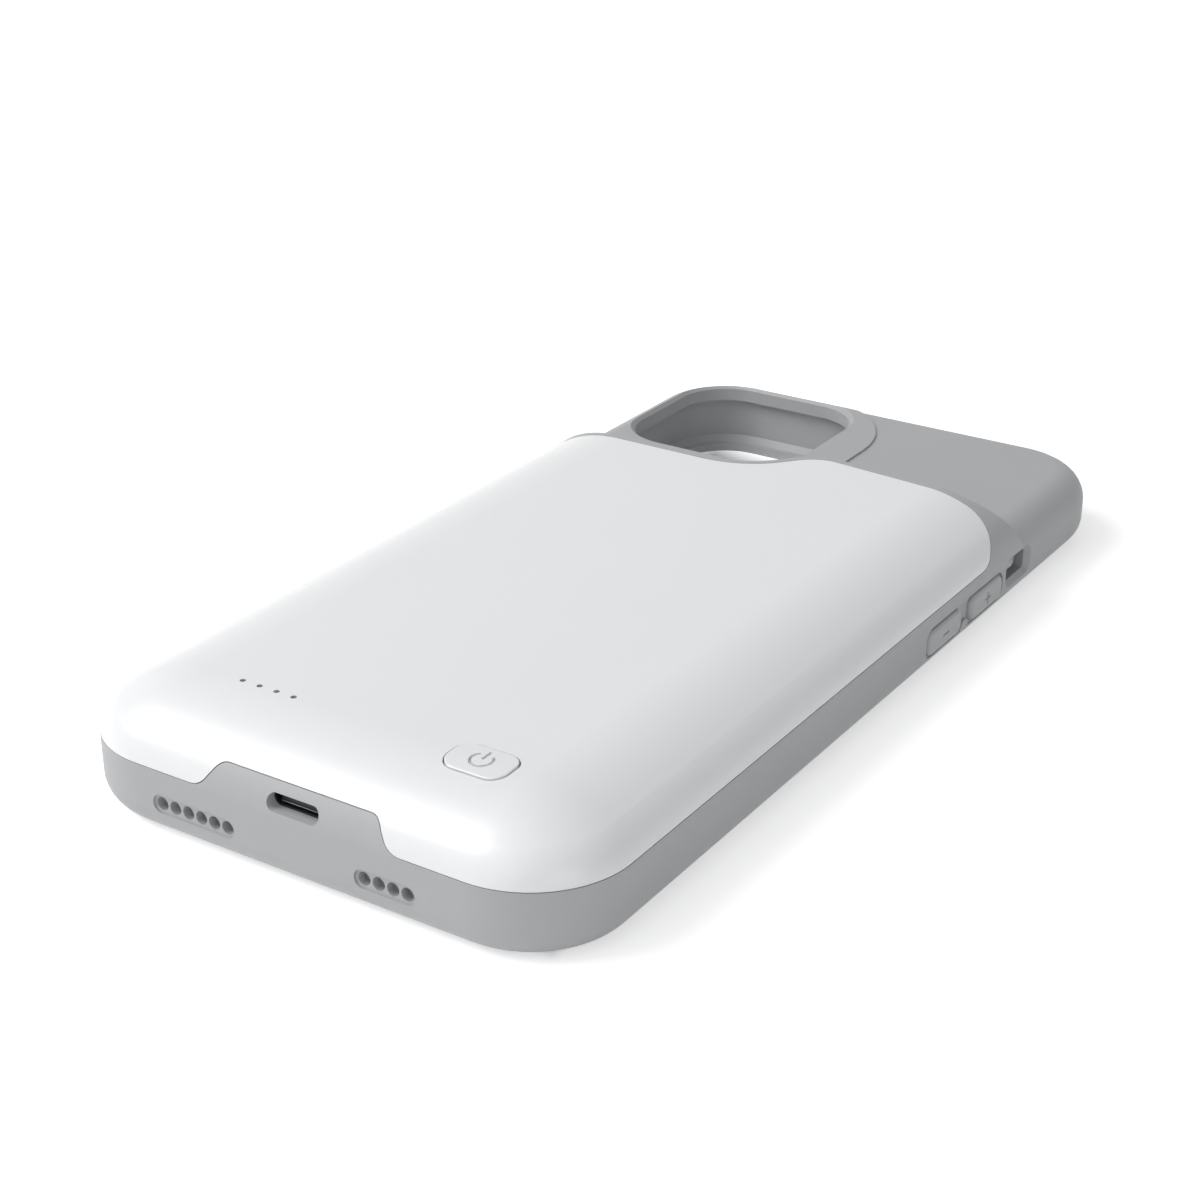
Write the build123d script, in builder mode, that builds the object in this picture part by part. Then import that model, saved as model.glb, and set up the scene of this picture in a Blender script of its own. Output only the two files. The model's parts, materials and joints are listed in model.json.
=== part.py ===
"""Battery charging case for a slim phone: a soft tray with a hard battery cover on its back.

Sizes are millimetres. The case lies with its back up: +Z points out of the back, +Y to the camera
end, +X to the side with the volume keys. The underside of the front lip is at Z = 0.
"""

import os
from math import atan2, degrees

from build123d import *

os.makedirs("parts", exist_ok=True)

# Phone that the case holds
phone_width = 71.5
phone_length = 146.7
phone_thickness = 7.65
phone_corner = 10.95
fit_gap = 0.15
fit_gap_deep = 0.1

# Walls of the tray
side_wall = 2.35
top_wall = 2.2
chin_depth = 7.5
lip_height = 1.2
lip_overhang = 2.4
back_thickness = 2.45
floor_thickness = 0.8
bottom_round = 4.2
top_round = 4.7
bay_edge_bevel = 1.0

# Crowned form of the hump over the battery
shoulder_rise = 8.2
shoulder_tight = 6.0
cover_wall = 1.4
seam = 0.12
parting_drop = 0.2
rib_wall = 1.0
rib_rise = 1.45
clip_long = 5.6
clip_tall = 0.6
clip_deep = 0.6
clip_pitch = 32.0
clip_count = 3
clip_gap = 0.15

# Waved edge between the cover and the camera end, measured from the camera end
edge_left_in = 48.5
edge_right_in = 41.7
knee_low_x = -2.3
knee_low_in = 48.6
knee_high_x = 5.8
knee_high_in = 38.75
knee_low_round = 14.0
knee_high_round = 6.0
edge_corner_round = 7.5
edge_heel_round = 4.0
edge_heel_turn = 42.0
edge_heel_rise = 3.6
edge_heel_left = 0.2
edge_heel_right = -0.45
edge_margin = 0.1
hump_margin = 19.25
rim = 1.4
rim_slope = 35.0
rim_ledge = 1.2
rim_round = 0.6
foot_round = 2.5

# Camera window
window_size = 30.6
window_round = 8.5
window_in = 3.7
window_side = 1.8
window_bevel = 0.7
pad_rise = 0.3
pad_margin = 7.35
pad_in = 1.0
pad_round = 18.5

# Side keys
key_long = 10.8
key_side_long = 15.0
key_tall = 3.8
key_round = 1.5
key_edge_bevel = 0.3
key_gap = 0.15
key_proud = 0.3
key_flange = 0.6
key_flange_thick = 0.7
key_stroke = 0.5
key_rest = 0.03
key_up_in = 47.2
key_down_in = 61.2
key_side_in = 54.5
key_pocket_margin = 0.45
key_pocket_deep = 0.5
key_saddle_rise = 1.6
key_saddle_round = 0.8

# Mute switch window
mute_in = 35.75
mute_lift = 0.65
mute_long = 7.4
mute_tall = 3.2
mute_round = 0.9
mute_bevel = 0.85

# Sound rows in the chin
hole_pitch = 2.08
hole_d = 1.8
hole_first = 10.35
left_hole_count = 6
right_hole_count = 4
grille_margin = 0.42
grille_deep = 0.3
grille_wall = 1.4
duct_tall = 2.2

# Tongue of the tray round the charging port
slot_wide = 7.8
slot_tall = 2.2
tongue_side = 7.8
tongue_flare = 2.6
tongue_over = 1.1
tongue_foot_round = 3.0
tongue_head_round = 2.0
tongue_wall = 1.8

# Power button and its switch
button_side = 8.8
button_in = 12.8
button_wide = 8.7
button_deep = 5.7
button_round = 2.2
button_gap = 0.2
button_proud = 0.18
button_edge_bevel = 0.2
button_flange = 0.8
button_flange_thick = 0.6
button_drop = 0.55
button_stroke = 0.4
stem_d = 2.2
tact_size = 5.0
tact_tall = 1.6
plunger_d = 1.9
plunger_sunk = 0.7
plunger_show = 0.5

# Indicator lights and their light guide
light_side = 12.8
light_in = 13.2
light_pitch = 2.7
light_d = 0.8
light_count = 4
light_sink = 0.05
led_long = 1.0
led_wide = 0.6
led_tall = 0.5
guide_gap = 0.4
guide_deep = 2.0
guide_tall = 1.8
guide_end = 1.5
guide_foot = 0.8

# Plate between phone and battery
plate_side = 6.4
plate_port_gap = 3.0
plate_edge_gap = 4.0
plate_flange = 2.0
plate_flange_thick = 0.6
plate_gap = 0.1
plate_round = 4.0

# Battery
cell_side = 2.0
cell_board_gap = 4.5
cell_edge_gap = 1.8
cell_thick = 4.7
cell_round = 1.6
swell_gap = 0.4
tape_thick = 0.15
tape_side = 7.0
tape_end = 8.0
guard_wide = 26.0
guard_deep = 1.6
guard_tall = 3.0
guard_lift = 0.7
lead_d = 0.9
lead_x = 3.5
lead_land = 1.6

# Main board
board_side = 2.5
board_in = 4.1
board_deep = 16.9
board_thick = 0.8
board_lift = 0.1
board_round = 2.0
peg_in = 3.3
peg_d = 1.5
peg_show = 0.4
screw_side = 13.0
screw_in = 7.2
screw_d = 1.2
screw_long = 3.2
screw_head_d = 2.6
screw_head = 0.8
post_d = 3.4
hole_play = 0.1
notch_gap = 0.2
chip_x = -3.0
chip_in = 5.5
chip_size = 4.0
chip_tall = 0.9
coil_x = 9.0
coil_size = 5.0
coil_tall = 2.0
cap_long = 1.6
cap_wide = 0.8
cap_gap = 1.2

# Charging port
port_in = 2.45
port_long = 6.5
port_wide = 8.0
port_tall = 2.5
port_skin = 0.3
port_seat_gap = 0.02
port_blade_wide = 5.8
port_blade_thick = 0.6
port_blade_long = 4.6
port_blade_sunk = 0.6
port_tab = 1.3

# Plug for the phone
plug_wide = 8.25
plug_tall = 2.4
plug_skin = 0.3
plug_reach = 6.65
plug_edge_bevel = 0.12
plug_floor = 0.8
contact_wide = 0.4
contact_thick = 0.25
contact_pitch = 0.9
contact_count = 6
contact_sunk = 0.9
holder_edge = 0.2
holder_wall = 0.8
holder_thick = 1.75
holder_tall = 5.4
holder_gap = 0.05
link_board_thick = 0.8
link_board_gap = 0.2
pin_side = 1.35
pin_pitch = 0.9
pin_size = 0.4
pin_show = 0.5

# Outline of the tray and the phone bay
bay_width = phone_width + 2 * fit_gap
bay_length = phone_length + 2 * fit_gap
bay_corner = phone_corner + fit_gap
width = bay_width + 2 * side_wall
length = bay_length + top_wall + chin_depth
corner_radius = bay_corner + side_wall
chin_y = -length / 2
top_y = length / 2
bay_low = chin_y + chin_depth
bay_y = bay_low + bay_length / 2
far = width
over = 0.5
near = 0.01

# Heights, from the phone up to the crown of the hump
bay_top = lip_height + phone_thickness + fit_gap_deep
mid_phone = lip_height + phone_thickness / 2
back_top = bay_top + back_thickness
floor_top = bay_top + floor_thickness
rib_top = floor_top + rib_rise
parting = floor_top - parting_drop
plate_top = floor_top + plate_flange_thick
board_bottom = plate_top + board_lift
board_top = board_bottom + board_thick
port_z = (board_bottom + board_top) / 2
cell_bottom = plate_top + tape_thick
cell_top = cell_bottom + cell_thick
cover_inside = cell_top + swell_gap
hump_height = cover_inside + cover_wall
shoulder_start = hump_height - shoulder_rise
form_low = bottom_round + over
clip_z = (floor_top + rib_top) / 2
tongue_top = port_z + slot_tall / 2 + tongue_over
flange_top = cover_inside - button_drop
flange_low = flange_top - button_flange_thick
tact_top = board_top + tact_tall
stem_low = tact_top + plunger_show
guide_low = board_top + led_tall + guide_gap
lead_z = cell_bottom + guard_lift + guard_tall / 2
holder_low = mid_phone - holder_tall / 2
holder_top = mid_phone + holder_tall / 2
link_top = min(floor_top, port_z - port_tall / 2) - holder_gap
mute_z = mid_phone + mute_lift

# Shoulder of the hump: a tight arc at the side runs into a wide one at the crown
shoulder_width = corner_radius
shoulder_gain = shoulder_width**2 - 2 * shoulder_width * shoulder_tight + shoulder_rise**2
shoulder_wide = shoulder_gain / (2 * (shoulder_rise - shoulder_tight))
shoulder_turn = degrees(atan2(shoulder_width - shoulder_tight, shoulder_wide - shoulder_rise))

# Places along the case, from the chin and from the camera end
crown_start = chin_y + corner_radius
port_front = chin_y + port_in
port_back = port_front + port_long
board_low = chin_y + board_in
board_high = board_low + board_deep
button_y = chin_y + button_in
light_y = chin_y + light_in
screw_y = chin_y + screw_in
peg_y = board_high - peg_in
chip_y = board_high - chip_in
plate_low = port_back + plate_port_gap
edge_left = top_y - edge_left_in
edge_right = top_y - edge_right_in
knee_low = (knee_low_x, top_y - knee_low_in)
knee_high = (knee_high_x, top_y - knee_high_in)
edge_fall = (knee_high[1] - edge_right) / (width / 2 - knee_high[0])
edge_reach = width / 2 + edge_margin
heel_left = edge_left - edge_corner_round - edge_heel_left
heel_right = edge_right - edge_corner_round - edge_heel_right
hump_reach = knee_high[1] + hump_margin
plate_high = edge_left - plate_edge_gap
cell_low = board_high + cell_board_gap
cell_high = edge_left - rim_ledge - cell_edge_gap
window_y = top_y - window_in - window_size / 2
key_up_y = top_y - key_up_in
key_down_y = top_y - key_down_in
key_side_y = top_y - key_side_in
mute_y = top_y - mute_in
wall_face = bay_low - holder_wall
holder_back = wall_face - holder_gap - holder_thick
pocket_back = holder_back - link_board_thick - link_board_gap
pin_y = holder_back + pin_size / 2

# Places across the case
window_x = window_side + window_size / 2 - bay_width / 2
pad_edge = window_x + window_size / 2 + pad_margin
plate_half = bay_width / 2 - plate_side
cell_half = plate_half - cell_side
board_half = plate_half - board_side
button_x = board_half - button_side
light_x = light_side - board_half
peg_x = board_half - peg_in
screw_x = board_half - screw_side
pin_x = port_wide / 2 + pin_side
holder_half = pin_x + (pin_pitch + pin_size) / 2 + holder_edge
tongue_head = slot_wide / 2 + tongue_side
tongue_foot = tongue_head + tongue_flare
pegs_at = ((peg_x, peg_y), (-peg_x, peg_y))
screws_at = ((screw_x, screw_y), (-screw_x, screw_y))
pins_at = ((pin_x, pin_y), (-pin_x, pin_y))


def crown_line(edge, inset, sign):
    """Shoulder curve from the side up to the crown; the side lies at edge, sign says which way is out."""
    tight = (edge - sign * shoulder_tight, shoulder_start)
    wide = (edge - sign * shoulder_width, hump_height - shoulder_wide)
    steep = 90 - shoulder_turn
    start = 90 - sign * 90
    CenterArc(tight, shoulder_tight - inset, start, sign * steep)
    CenterArc(wide, shoulder_wide - inset, start + sign * steep, sign * shoulder_turn)


def hump_body(inset):
    """Solid inside the hump's crowned form, at a distance under its skin."""
    half = width / 2 - inset
    chin = chin_y + inset
    top = hump_height - inset
    turn = crown_start
    straight = width / 2 - corner_radius
    with BuildPart() as body:
        with BuildSketch(Plane((0, hump_reach, 0), x_dir=(1, 0, 0), z_dir=(0, -1, 0))):
            with BuildLine():
                crown_line(width / 2, inset, 1)
                crown_line(-width / 2, inset, -1)
                Line((straight, top), (-straight, top))
                Polyline((-half, shoulder_start), (-half, form_low), (half, form_low), (half, shoulder_start))
            make_face()
        extrude(amount=hump_reach - turn)
        with BuildSketch(Plane((-straight, 0, 0), x_dir=(0, 1, 0), z_dir=(1, 0, 0))):
            with BuildLine():
                crown_line(chin_y, inset, -1)
                Polyline((turn, top), (turn, form_low), (chin, form_low), (chin, shoulder_start))
            make_face()
        extrude(amount=2 * straight)
        for side in (1, -1):
            pivot = (side * straight, turn, 0)
            with BuildSketch(Plane(pivot, x_dir=(side, 0, 0), z_dir=(0, -side, 0))):
                with BuildLine():
                    crown_line(corner_radius, inset, 1)
                    rim_foot = (corner_radius - inset, form_low)
                    Polyline((0, top), (0, form_low), rim_foot, (corner_radius - inset, shoulder_start))
                make_face()
            revolve(axis=Axis(pivot, (0, 0, -side)), revolution_arc=90)
    return body.part


def tray_body(rise):
    """Rounded block of the tray, with its back lifted by rise."""
    with BuildPart() as body:
        with BuildSketch():
            RectangleRounded(width, length, corner_radius)
        extrude(amount=back_top + rise)
        fillet(body.faces().sort_by(Axis.Z)[-1].edges(), top_round)
        fillet(body.faces().sort_by(Axis.Z)[0].edges(), bottom_round)
    return body.part


def edge_plan(grow, reach, corner):
    """Plan region on the chin side of the waved edge, moved out by grow."""
    with BuildSketch() as plan:
        with BuildLine():
            Polyline(
                (-reach, chin_y - far),
                (reach, chin_y - far),
                (reach, edge_right - (reach - width / 2) * edge_fall),
                knee_high,
                knee_low,
                (-reach, edge_left),
                close=True,
            )
        make_face()
        fillet(plan.vertices().sort_by_distance((*knee_low, 0))[0], knee_low_round)
        fillet(plan.vertices().sort_by_distance((*knee_high, 0))[0], knee_high_round)
        if corner > 0:
            ends = plan.vertices().filter_by(lambda v: abs(v.X) > reach - near)
            fillet(ends.filter_by(lambda v: v.Y > chin_y), corner)
        if grow != 0:
            offset(amount=grow, kind=Kind.INTERSECTION, mode=Mode.REPLACE)
    return plan.sketch


def upright(plan, low, high):
    """Upright block over a plan sketch, between two heights."""
    with BuildPart() as body:
        with BuildSketch(Plane.XY.offset(low)):
            add(plan)
        extrude(amount=high - low)
    return body.part


def chin_plane(y):
    """Plane across the chin, facing out of it."""
    return Plane((0, y, 0), x_dir=(1, 0, 0), z_dir=(0, -1, 0))


def side_plane(side, depth):
    """Plane at a depth under the outer face of a long side, facing out."""
    return Plane((side * (width / 2 - depth), 0, 0), x_dir=(0, side, 0), z_dir=(side, 0, 0))


def tongue_block(grow):
    """Block through the chin behind the outline of the tray's tongue, moved out by grow."""
    with BuildPart() as body:
        with BuildSketch(chin_plane(bay_low)) as front:
            with BuildLine():
                Polyline(
                    (-far, form_low),
                    (far, form_low),
                    (far, parting),
                    (tongue_foot, parting),
                    (tongue_head, tongue_top),
                    (-tongue_head, tongue_top),
                    (-tongue_foot, parting),
                    (-far, parting),
                    close=True,
                )
            make_face()
            feet = front.vertices().filter_by(lambda v: abs(abs(v.X) - tongue_foot) < near)
            fillet(feet, tongue_foot_round)
            heads = front.vertices().filter_by(lambda v: abs(abs(v.X) - tongue_head) < near)
            fillet(heads, tongue_head_round)
            if grow != 0:
                offset(amount=grow, kind=Kind.INTERSECTION, mode=Mode.REPLACE)
        extrude(amount=chin_depth + far)
    return body.part


def heel_block(grow):
    """Blocks that lift the cover's rear ends off the parting in a rounded heel, moved out by grow."""
    with BuildPart() as body:
        for side, start in ((1, heel_right), (-1, -heel_left)):
            with BuildSketch(side_plane(side, width / 2)):
                with BuildLine():
                    middle = (start, parting + edge_heel_round)
                    arc = CenterArc(middle, edge_heel_round - grow, -90, side * edge_heel_turn)
                    rise = parting + edge_heel_rise - (arc @ 1).Y
                    slope = Line(arc @ 1, arc @ 1 + rise / (arc % 1).Y * (arc % 1))
                    Polyline(
                        slope @ 1,
                        (start + side * far, parting + edge_heel_rise),
                        (start + side * far, parting - over),
                        (start, parting - over),
                        arc @ 0,
                    )
                make_face()
            extrude(amount=far)
    return body.part


def clip_blocks(long, tall, deep):
    """Blocks at the cover's clips along both long sides, reaching in by deep from the cover's wall."""
    with BuildPart() as body:
        inner = width / 2 - cover_wall
        with Locations((0, (board_high + cell_high) / 2, clip_z)):
            with GridLocations(2 * (inner - deep / 2), clip_pitch, 2, clip_count):
                Box(deep, long, tall)
    return body.part


# Forms that tray and cover share
skin = hump_body(0)
under_cover = hump_body(cover_wall)
under_seam = hump_body(cover_wall + seam)
inside_rib = hump_body(cover_wall + seam + rib_wall)

with BuildPart() as hump_end:
    with BuildSketch(Plane.XY.offset(hump_height)):
        add(edge_plan(rim, far, 0))
    extrude(amount=hump_height - form_low, dir=(0, 0, -1), taper=-rim_slope)
    add(skin, mode=Mode.INTERSECT)
    crest = hump_end.edges().filter_by(lambda e: e.bounding_box().min.Z > hump_height - near)
    fillet(crest.filter_by(lambda e: e.bounding_box().min.Y > bay_y - far / 2), rim_round)

with BuildPart() as camera_pad:
    with BuildSketch() as pad_plan:
        with Locations(((pad_edge - far) / 2, (top_y - pad_in) / 2)):
            Rectangle(far + pad_edge, top_y - pad_in)
        fillet(pad_plan.vertices().sort_by_distance((pad_edge, top_y - pad_in, 0))[0], pad_round)
    extrude(amount=hump_height)
    add(tray_body(pad_rise), mode=Mode.INTERSECT)

with BuildPart() as cover_hollow:
    add(under_cover)
    add(clip_blocks(clip_long, clip_tall, clip_deep), mode=Mode.SUBTRACT)

with BuildPart() as skin_room:
    add(upright(edge_plan(seam, edge_reach, edge_corner_round), parting, hump_height + over))
    add(under_seam, mode=Mode.SUBTRACT)
    add(heel_block(0), mode=Mode.SUBTRACT)

with BuildPart() as battery_room:
    room_plan = edge_plan(-rim_ledge, edge_reach, edge_corner_round)
    add(upright(room_plan, rib_top, hump_height))
    add(under_seam, mode=Mode.INTERSECT)

with BuildPart() as floor_room:
    add(upright(room_plan, floor_top, rib_top + over))
    add(inside_rib, mode=Mode.INTERSECT)

with BuildPart() as tongue:
    add(tongue_block(0))
    add(skin, mode=Mode.INTERSECT)
    add(hump_body(tongue_wall), mode=Mode.SUBTRACT)

with BuildPart() as phone_bay:
    with BuildSketch(Plane.XY.offset(lip_height)):
        with Locations((0, bay_y)):
            RectangleRounded(bay_width, bay_length, bay_corner)
    extrude(amount=bay_top - lip_height)
    chamfer(phone_bay.faces().sort_by(Axis.Z)[0].edges(), bay_edge_bevel)
    with BuildSketch(Plane.XY.offset(-over)):
        with Locations((0, bay_y)):
            mouth_width = bay_width - 2 * lip_overhang
            RectangleRounded(mouth_width, bay_length - 2 * lip_overhang, bay_corner - lip_overhang)
    extrude(amount=over + (lip_height + bay_top) / 2)

with BuildPart() as bumper_frame:
    add(hump_end.part)
    add(tray_body(0))
    foot = bumper_frame.edges().filter_by(lambda e: abs(e.bounding_box().max.Z - back_top) < near)
    foot = foot.filter_by(lambda e: abs(e.bounding_box().min.Z - back_top) < near)
    foot = foot.filter_by(lambda e: e.bounding_box().max.Y < top_y - top_round - over)
    fillet(foot, foot_round)
    add(camera_pad.part)
    add(skin_room.part, mode=Mode.SUBTRACT)
    add(battery_room.part, mode=Mode.SUBTRACT)
    add(floor_room.part, mode=Mode.SUBTRACT)
    add(tongue.part)
    add(phone_bay.part, mode=Mode.SUBTRACT)
    # Slots in the rib for the cover's clips
    clip_slack = 2 * clip_gap
    clip_reach = rib_wall + clip_deep + 2 * seam
    add(clip_blocks(clip_long + clip_slack, clip_tall + clip_slack, clip_reach), mode=Mode.SUBTRACT)
    # Opening that the inner plate closes
    with BuildSketch(Plane.XY.offset(bay_top - over)):
        with Locations((0, (plate_low + plate_high) / 2)):
            RectangleRounded(2 * plate_half, plate_high - plate_low, plate_round)
    extrude(amount=floor_thickness + 2 * over, mode=Mode.SUBTRACT)
    # Camera window with a bevelled rim
    with BuildSketch(Plane.XY.offset(bay_top - over)):
        with Locations((window_x, window_y)):
            RectangleRounded(window_size, window_size, window_round)
    extrude(amount=back_thickness + pad_rise + 2 * over, mode=Mode.SUBTRACT)
    with BuildSketch(Plane.XY.offset(back_top + pad_rise)):
        with Locations((window_x, window_y)):
            bevel_size = window_size + 2 * window_bevel
            RectangleRounded(bevel_size, bevel_size, window_round + window_bevel)
    extrude(amount=window_bevel + over / 2, dir=(0, 0, -1), taper=45, mode=Mode.SUBTRACT)
    # Recesses, windows and flange pockets of the side keys, with a saddle between the volume keys
    volume_y = (key_up_y + key_down_y) / 2
    volume_long = key_up_y - key_down_y + key_long
    recess_tall = key_tall + 2 * key_pocket_margin
    recess_low = mid_phone - recess_tall / 2
    saddle_wide = key_up_y - key_down_y - key_long - 2 * key_pocket_margin
    for side, y, long in ((1, volume_y, volume_long), (-1, key_side_y, key_side_long)):
        with BuildSketch(side_plane(side, key_pocket_deep)) as recess:
            with Locations((side * y, mid_phone)):
                recess_round = key_round + key_pocket_margin
                RectangleRounded(long + 2 * key_pocket_margin, recess_tall, recess_round)
            if side > 0:
                with Locations((y, recess_low)):
                    Rectangle(saddle_wide, 2 * key_saddle_rise, mode=Mode.SUBTRACT)
                peaks = recess.vertices().filter_by(lambda v: abs(v.Y - recess_low - key_saddle_rise) < near)
                fillet(peaks, key_saddle_round)
        extrude(amount=key_pocket_deep + over, mode=Mode.SUBTRACT)
    for side, y, long in (
        (1, key_up_y, key_long),
        (1, key_down_y, key_long),
        (-1, key_side_y, key_side_long),
    ):
        with BuildSketch(side_plane(side, side_wall + over)):
            with Locations((side * y, mid_phone)):
                RectangleRounded(long + 2 * key_gap, key_tall + 2 * key_gap, key_round + key_gap)
        extrude(amount=side_wall + 2 * over, mode=Mode.SUBTRACT)
        with BuildSketch(side_plane(side, side_wall + over)):
            with Locations((side * y, mid_phone)):
                pocket_grow = 2 * (key_flange + key_gap)
                Rectangle(long + pocket_grow, key_tall + pocket_grow)
        extrude(amount=key_flange_thick + key_stroke + over, mode=Mode.SUBTRACT)
    # Mute switch window, funnel-shaped
    with BuildSketch(side_plane(1, side_wall + over)):
        with Locations((mute_y, mute_z)):
            RectangleRounded(mute_long, mute_tall, mute_round)
    extrude(amount=side_wall + 2 * over, mode=Mode.SUBTRACT)
    with BuildSketch(side_plane(1, 0)):
        with Locations((mute_y, mute_z)):
            funnel_tall = mute_tall + 2 * mute_bevel
            RectangleRounded(mute_long + 2 * mute_bevel, funnel_tall, mute_round + mute_bevel)
    extrude(amount=-(mute_bevel + over / 2), taper=45, mode=Mode.SUBTRACT)
    # Sound rows, each with a shallow recess, its holes and a duct to the phone
    for sign, count in ((-1, left_hole_count), (1, right_hole_count)):
        span = (count - 1) * hole_pitch
        middle = (sign * (hole_first + span / 2), mid_phone)
        row_tall = hole_d + 2 * grille_margin
        with BuildSketch(chin_plane(chin_y + grille_deep)):
            with Locations(middle):
                SlotOverall(span + row_tall, row_tall)
        extrude(amount=grille_deep + over, mode=Mode.SUBTRACT)
        with BuildSketch(chin_plane(chin_y + grille_deep + grille_wall + over / 2)):
            with Locations(middle):
                with GridLocations(hole_pitch, 1, count, 1):
                    Circle(hole_d / 2)
        extrude(amount=grille_deep + grille_wall + over, mode=Mode.SUBTRACT)
        with BuildSketch(chin_plane(bay_low + over)):
            with Locations(middle):
                SlotOverall(span + duct_tall, duct_tall)
        extrude(amount=chin_depth - grille_deep - grille_wall + over, mode=Mode.SUBTRACT)
    # Port slot and the seat of the port behind it
    with BuildSketch(chin_plane(port_front + over)):
        with Locations((0, port_z)):
            SlotOverall(slot_wide, slot_tall)
    extrude(amount=port_in + 2 * over, mode=Mode.SUBTRACT)
    with BuildSketch(chin_plane(port_back)):
        with Locations((0, port_z)):
            SlotOverall(port_wide + 2 * hole_play, port_tall + 2 * port_seat_gap)
    extrude(amount=port_long + port_seat_gap, mode=Mode.SUBTRACT)
    # Pocket for the plug holder, and the window for the plug
    with BuildSketch(Plane.XY.offset(holder_low - holder_gap)):
        with Locations((0, (pocket_back + wall_face) / 2)):
            Rectangle(2 * (holder_half + holder_gap), wall_face - pocket_back)
    extrude(amount=floor_top - holder_low + 2 * holder_gap, mode=Mode.SUBTRACT)
    with BuildSketch(chin_plane(bay_low + over)):
        with Locations((0, mid_phone)):
            SlotOverall(plug_wide + 2 * hole_play, plug_tall + 2 * hole_play)
    extrude(amount=holder_wall + 2 * over, mode=Mode.SUBTRACT)
    # Screw posts of the main board
    with BuildSketch(Plane.XY.offset(floor_top - over)):
        with Locations(*screws_at):
            Circle(post_d / 2)
    extrude(amount=board_bottom - floor_top + over)
    with BuildSketch(Plane.XY.offset(board_bottom)):
        with Locations(*screws_at):
            Circle(screw_d / 2 + port_seat_gap)
    extrude(amount=-(screw_long - board_thick + hole_play), mode=Mode.SUBTRACT)
bumper_frame.part.label = "bumper_frame"
export_step(bumper_frame.part, "parts/bumper_frame.step")

with BuildPart() as battery_cover:
    add(clip_blocks(clip_long, clip_tall, clip_deep + cover_wall / 2))
    add(upright(edge_plan(0, edge_reach, edge_corner_round), parting + seam, hump_height + over))
    add(tongue_block(seam), mode=Mode.SUBTRACT)
    add(heel_block(seam), mode=Mode.SUBTRACT)
    add(skin, mode=Mode.INTERSECT)
    add(cover_hollow.part, mode=Mode.SUBTRACT)
    with BuildSketch(Plane.XY.offset(flange_low)):
        with Locations((button_x, button_y)):
            hole_wide = button_wide + 2 * button_gap
            RectangleRounded(hole_wide, button_deep + 2 * button_gap, button_round + button_gap)
        with Locations((light_x, light_y)):
            with GridLocations(light_pitch, 1, light_count, 1):
                Circle(light_d / 2)
    extrude(amount=hump_height - flange_low + over, mode=Mode.SUBTRACT)
battery_cover.part.label = "battery_cover"
export_step(battery_cover.part, "parts/battery_cover.step")

with BuildPart() as inner_plate:
    plate_middle = (0, (plate_low + plate_high) / 2)
    plate_long = plate_high - plate_low
    with BuildSketch(Plane.XY.offset(bay_top)):
        with Locations(plate_middle):
            RectangleRounded(2 * (plate_half - plate_gap), plate_long - 2 * plate_gap, plate_round - plate_gap)
    extrude(amount=plate_top - bay_top)
    with BuildSketch(Plane.XY.offset(floor_top)):
        with Locations(plate_middle):
            RectangleRounded(2 * (plate_half + plate_flange), plate_long + 2 * plate_flange, plate_round)
    extrude(amount=plate_flange_thick)
    with BuildSketch(Plane.XY.offset(floor_top)):
        with Locations(*pegs_at):
            Circle(post_d / 2)
    extrude(amount=board_bottom - floor_top)
    with BuildSketch(Plane.XY.offset(floor_top)):
        with Locations(*pegs_at):
            Circle(peg_d / 2)
    extrude(amount=board_top + peg_show - floor_top)
inner_plate.part.label = "inner_plate"
export_step(inner_plate.part, "parts/inner_plate.step")


def key_body(side, y, long):
    """Side key: a cap through the wall with a flange on the phone's side of it."""
    cap_depth = side_wall - key_stroke - key_flange_thick
    with BuildPart() as body:
        with BuildSketch(side_plane(side, cap_depth + key_flange_thick)):
            with Locations((side * y, mid_phone)):
                RectangleRounded(long, key_tall, key_round)
        extrude(amount=cap_depth + key_flange_thick + key_proud)
        chamfer(body.faces().sort_by(Axis.X)[-1 if side > 0 else 0].edges(), key_edge_bevel)
        with BuildSketch(side_plane(side, cap_depth + key_flange_thick)):
            with Locations((side * y, mid_phone)):
                Rectangle(long + 2 * key_flange, key_tall + 2 * key_flange)
        extrude(amount=key_flange_thick - key_rest)
    return body.part


with BuildPart() as volume_up_key:
    add(key_body(1, key_up_y, key_long))
volume_up_key.part.label = "volume_up_key"
export_step(volume_up_key.part, "parts/volume_up_key.step")

with BuildPart() as volume_down_key:
    add(key_body(1, key_down_y, key_long))
volume_down_key.part.label = "volume_down_key"
export_step(volume_down_key.part, "parts/volume_down_key.step")

with BuildPart() as side_key:
    add(key_body(-1, key_side_y, key_side_long))
side_key.part.label = "side_key"
export_step(side_key.part, "parts/side_key.step")

with BuildPart() as power_button:
    with BuildSketch(Plane.XY.offset(flange_low)):
        with Locations((button_x, button_y)):
            RectangleRounded(button_wide, button_deep, button_round)
    extrude(amount=hump_height + over - flange_low)
    add(hump_body(-button_proud), mode=Mode.INTERSECT)
    brow = power_button.edges().filter_by(lambda e: e.bounding_box().min.Z > cover_inside)
    chamfer(brow.filter_by(lambda e: abs(e.center().Y - crown_start) > over), button_edge_bevel)
    with BuildSketch(Plane.XY.offset(flange_low)):
        with Locations((button_x, button_y)):
            flange_wide = button_wide + 2 * button_flange
            Rectangle(flange_wide, button_deep + 2 * button_flange)
    extrude(amount=button_flange_thick)
    with BuildSketch(Plane.XY.offset(stem_low)):
        with Locations((button_x, button_y)):
            Circle(stem_d / 2)
    extrude(amount=flange_low - stem_low)
power_button.part.label = "power_button"
export_step(power_button.part, "parts/power_button.step")

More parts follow.
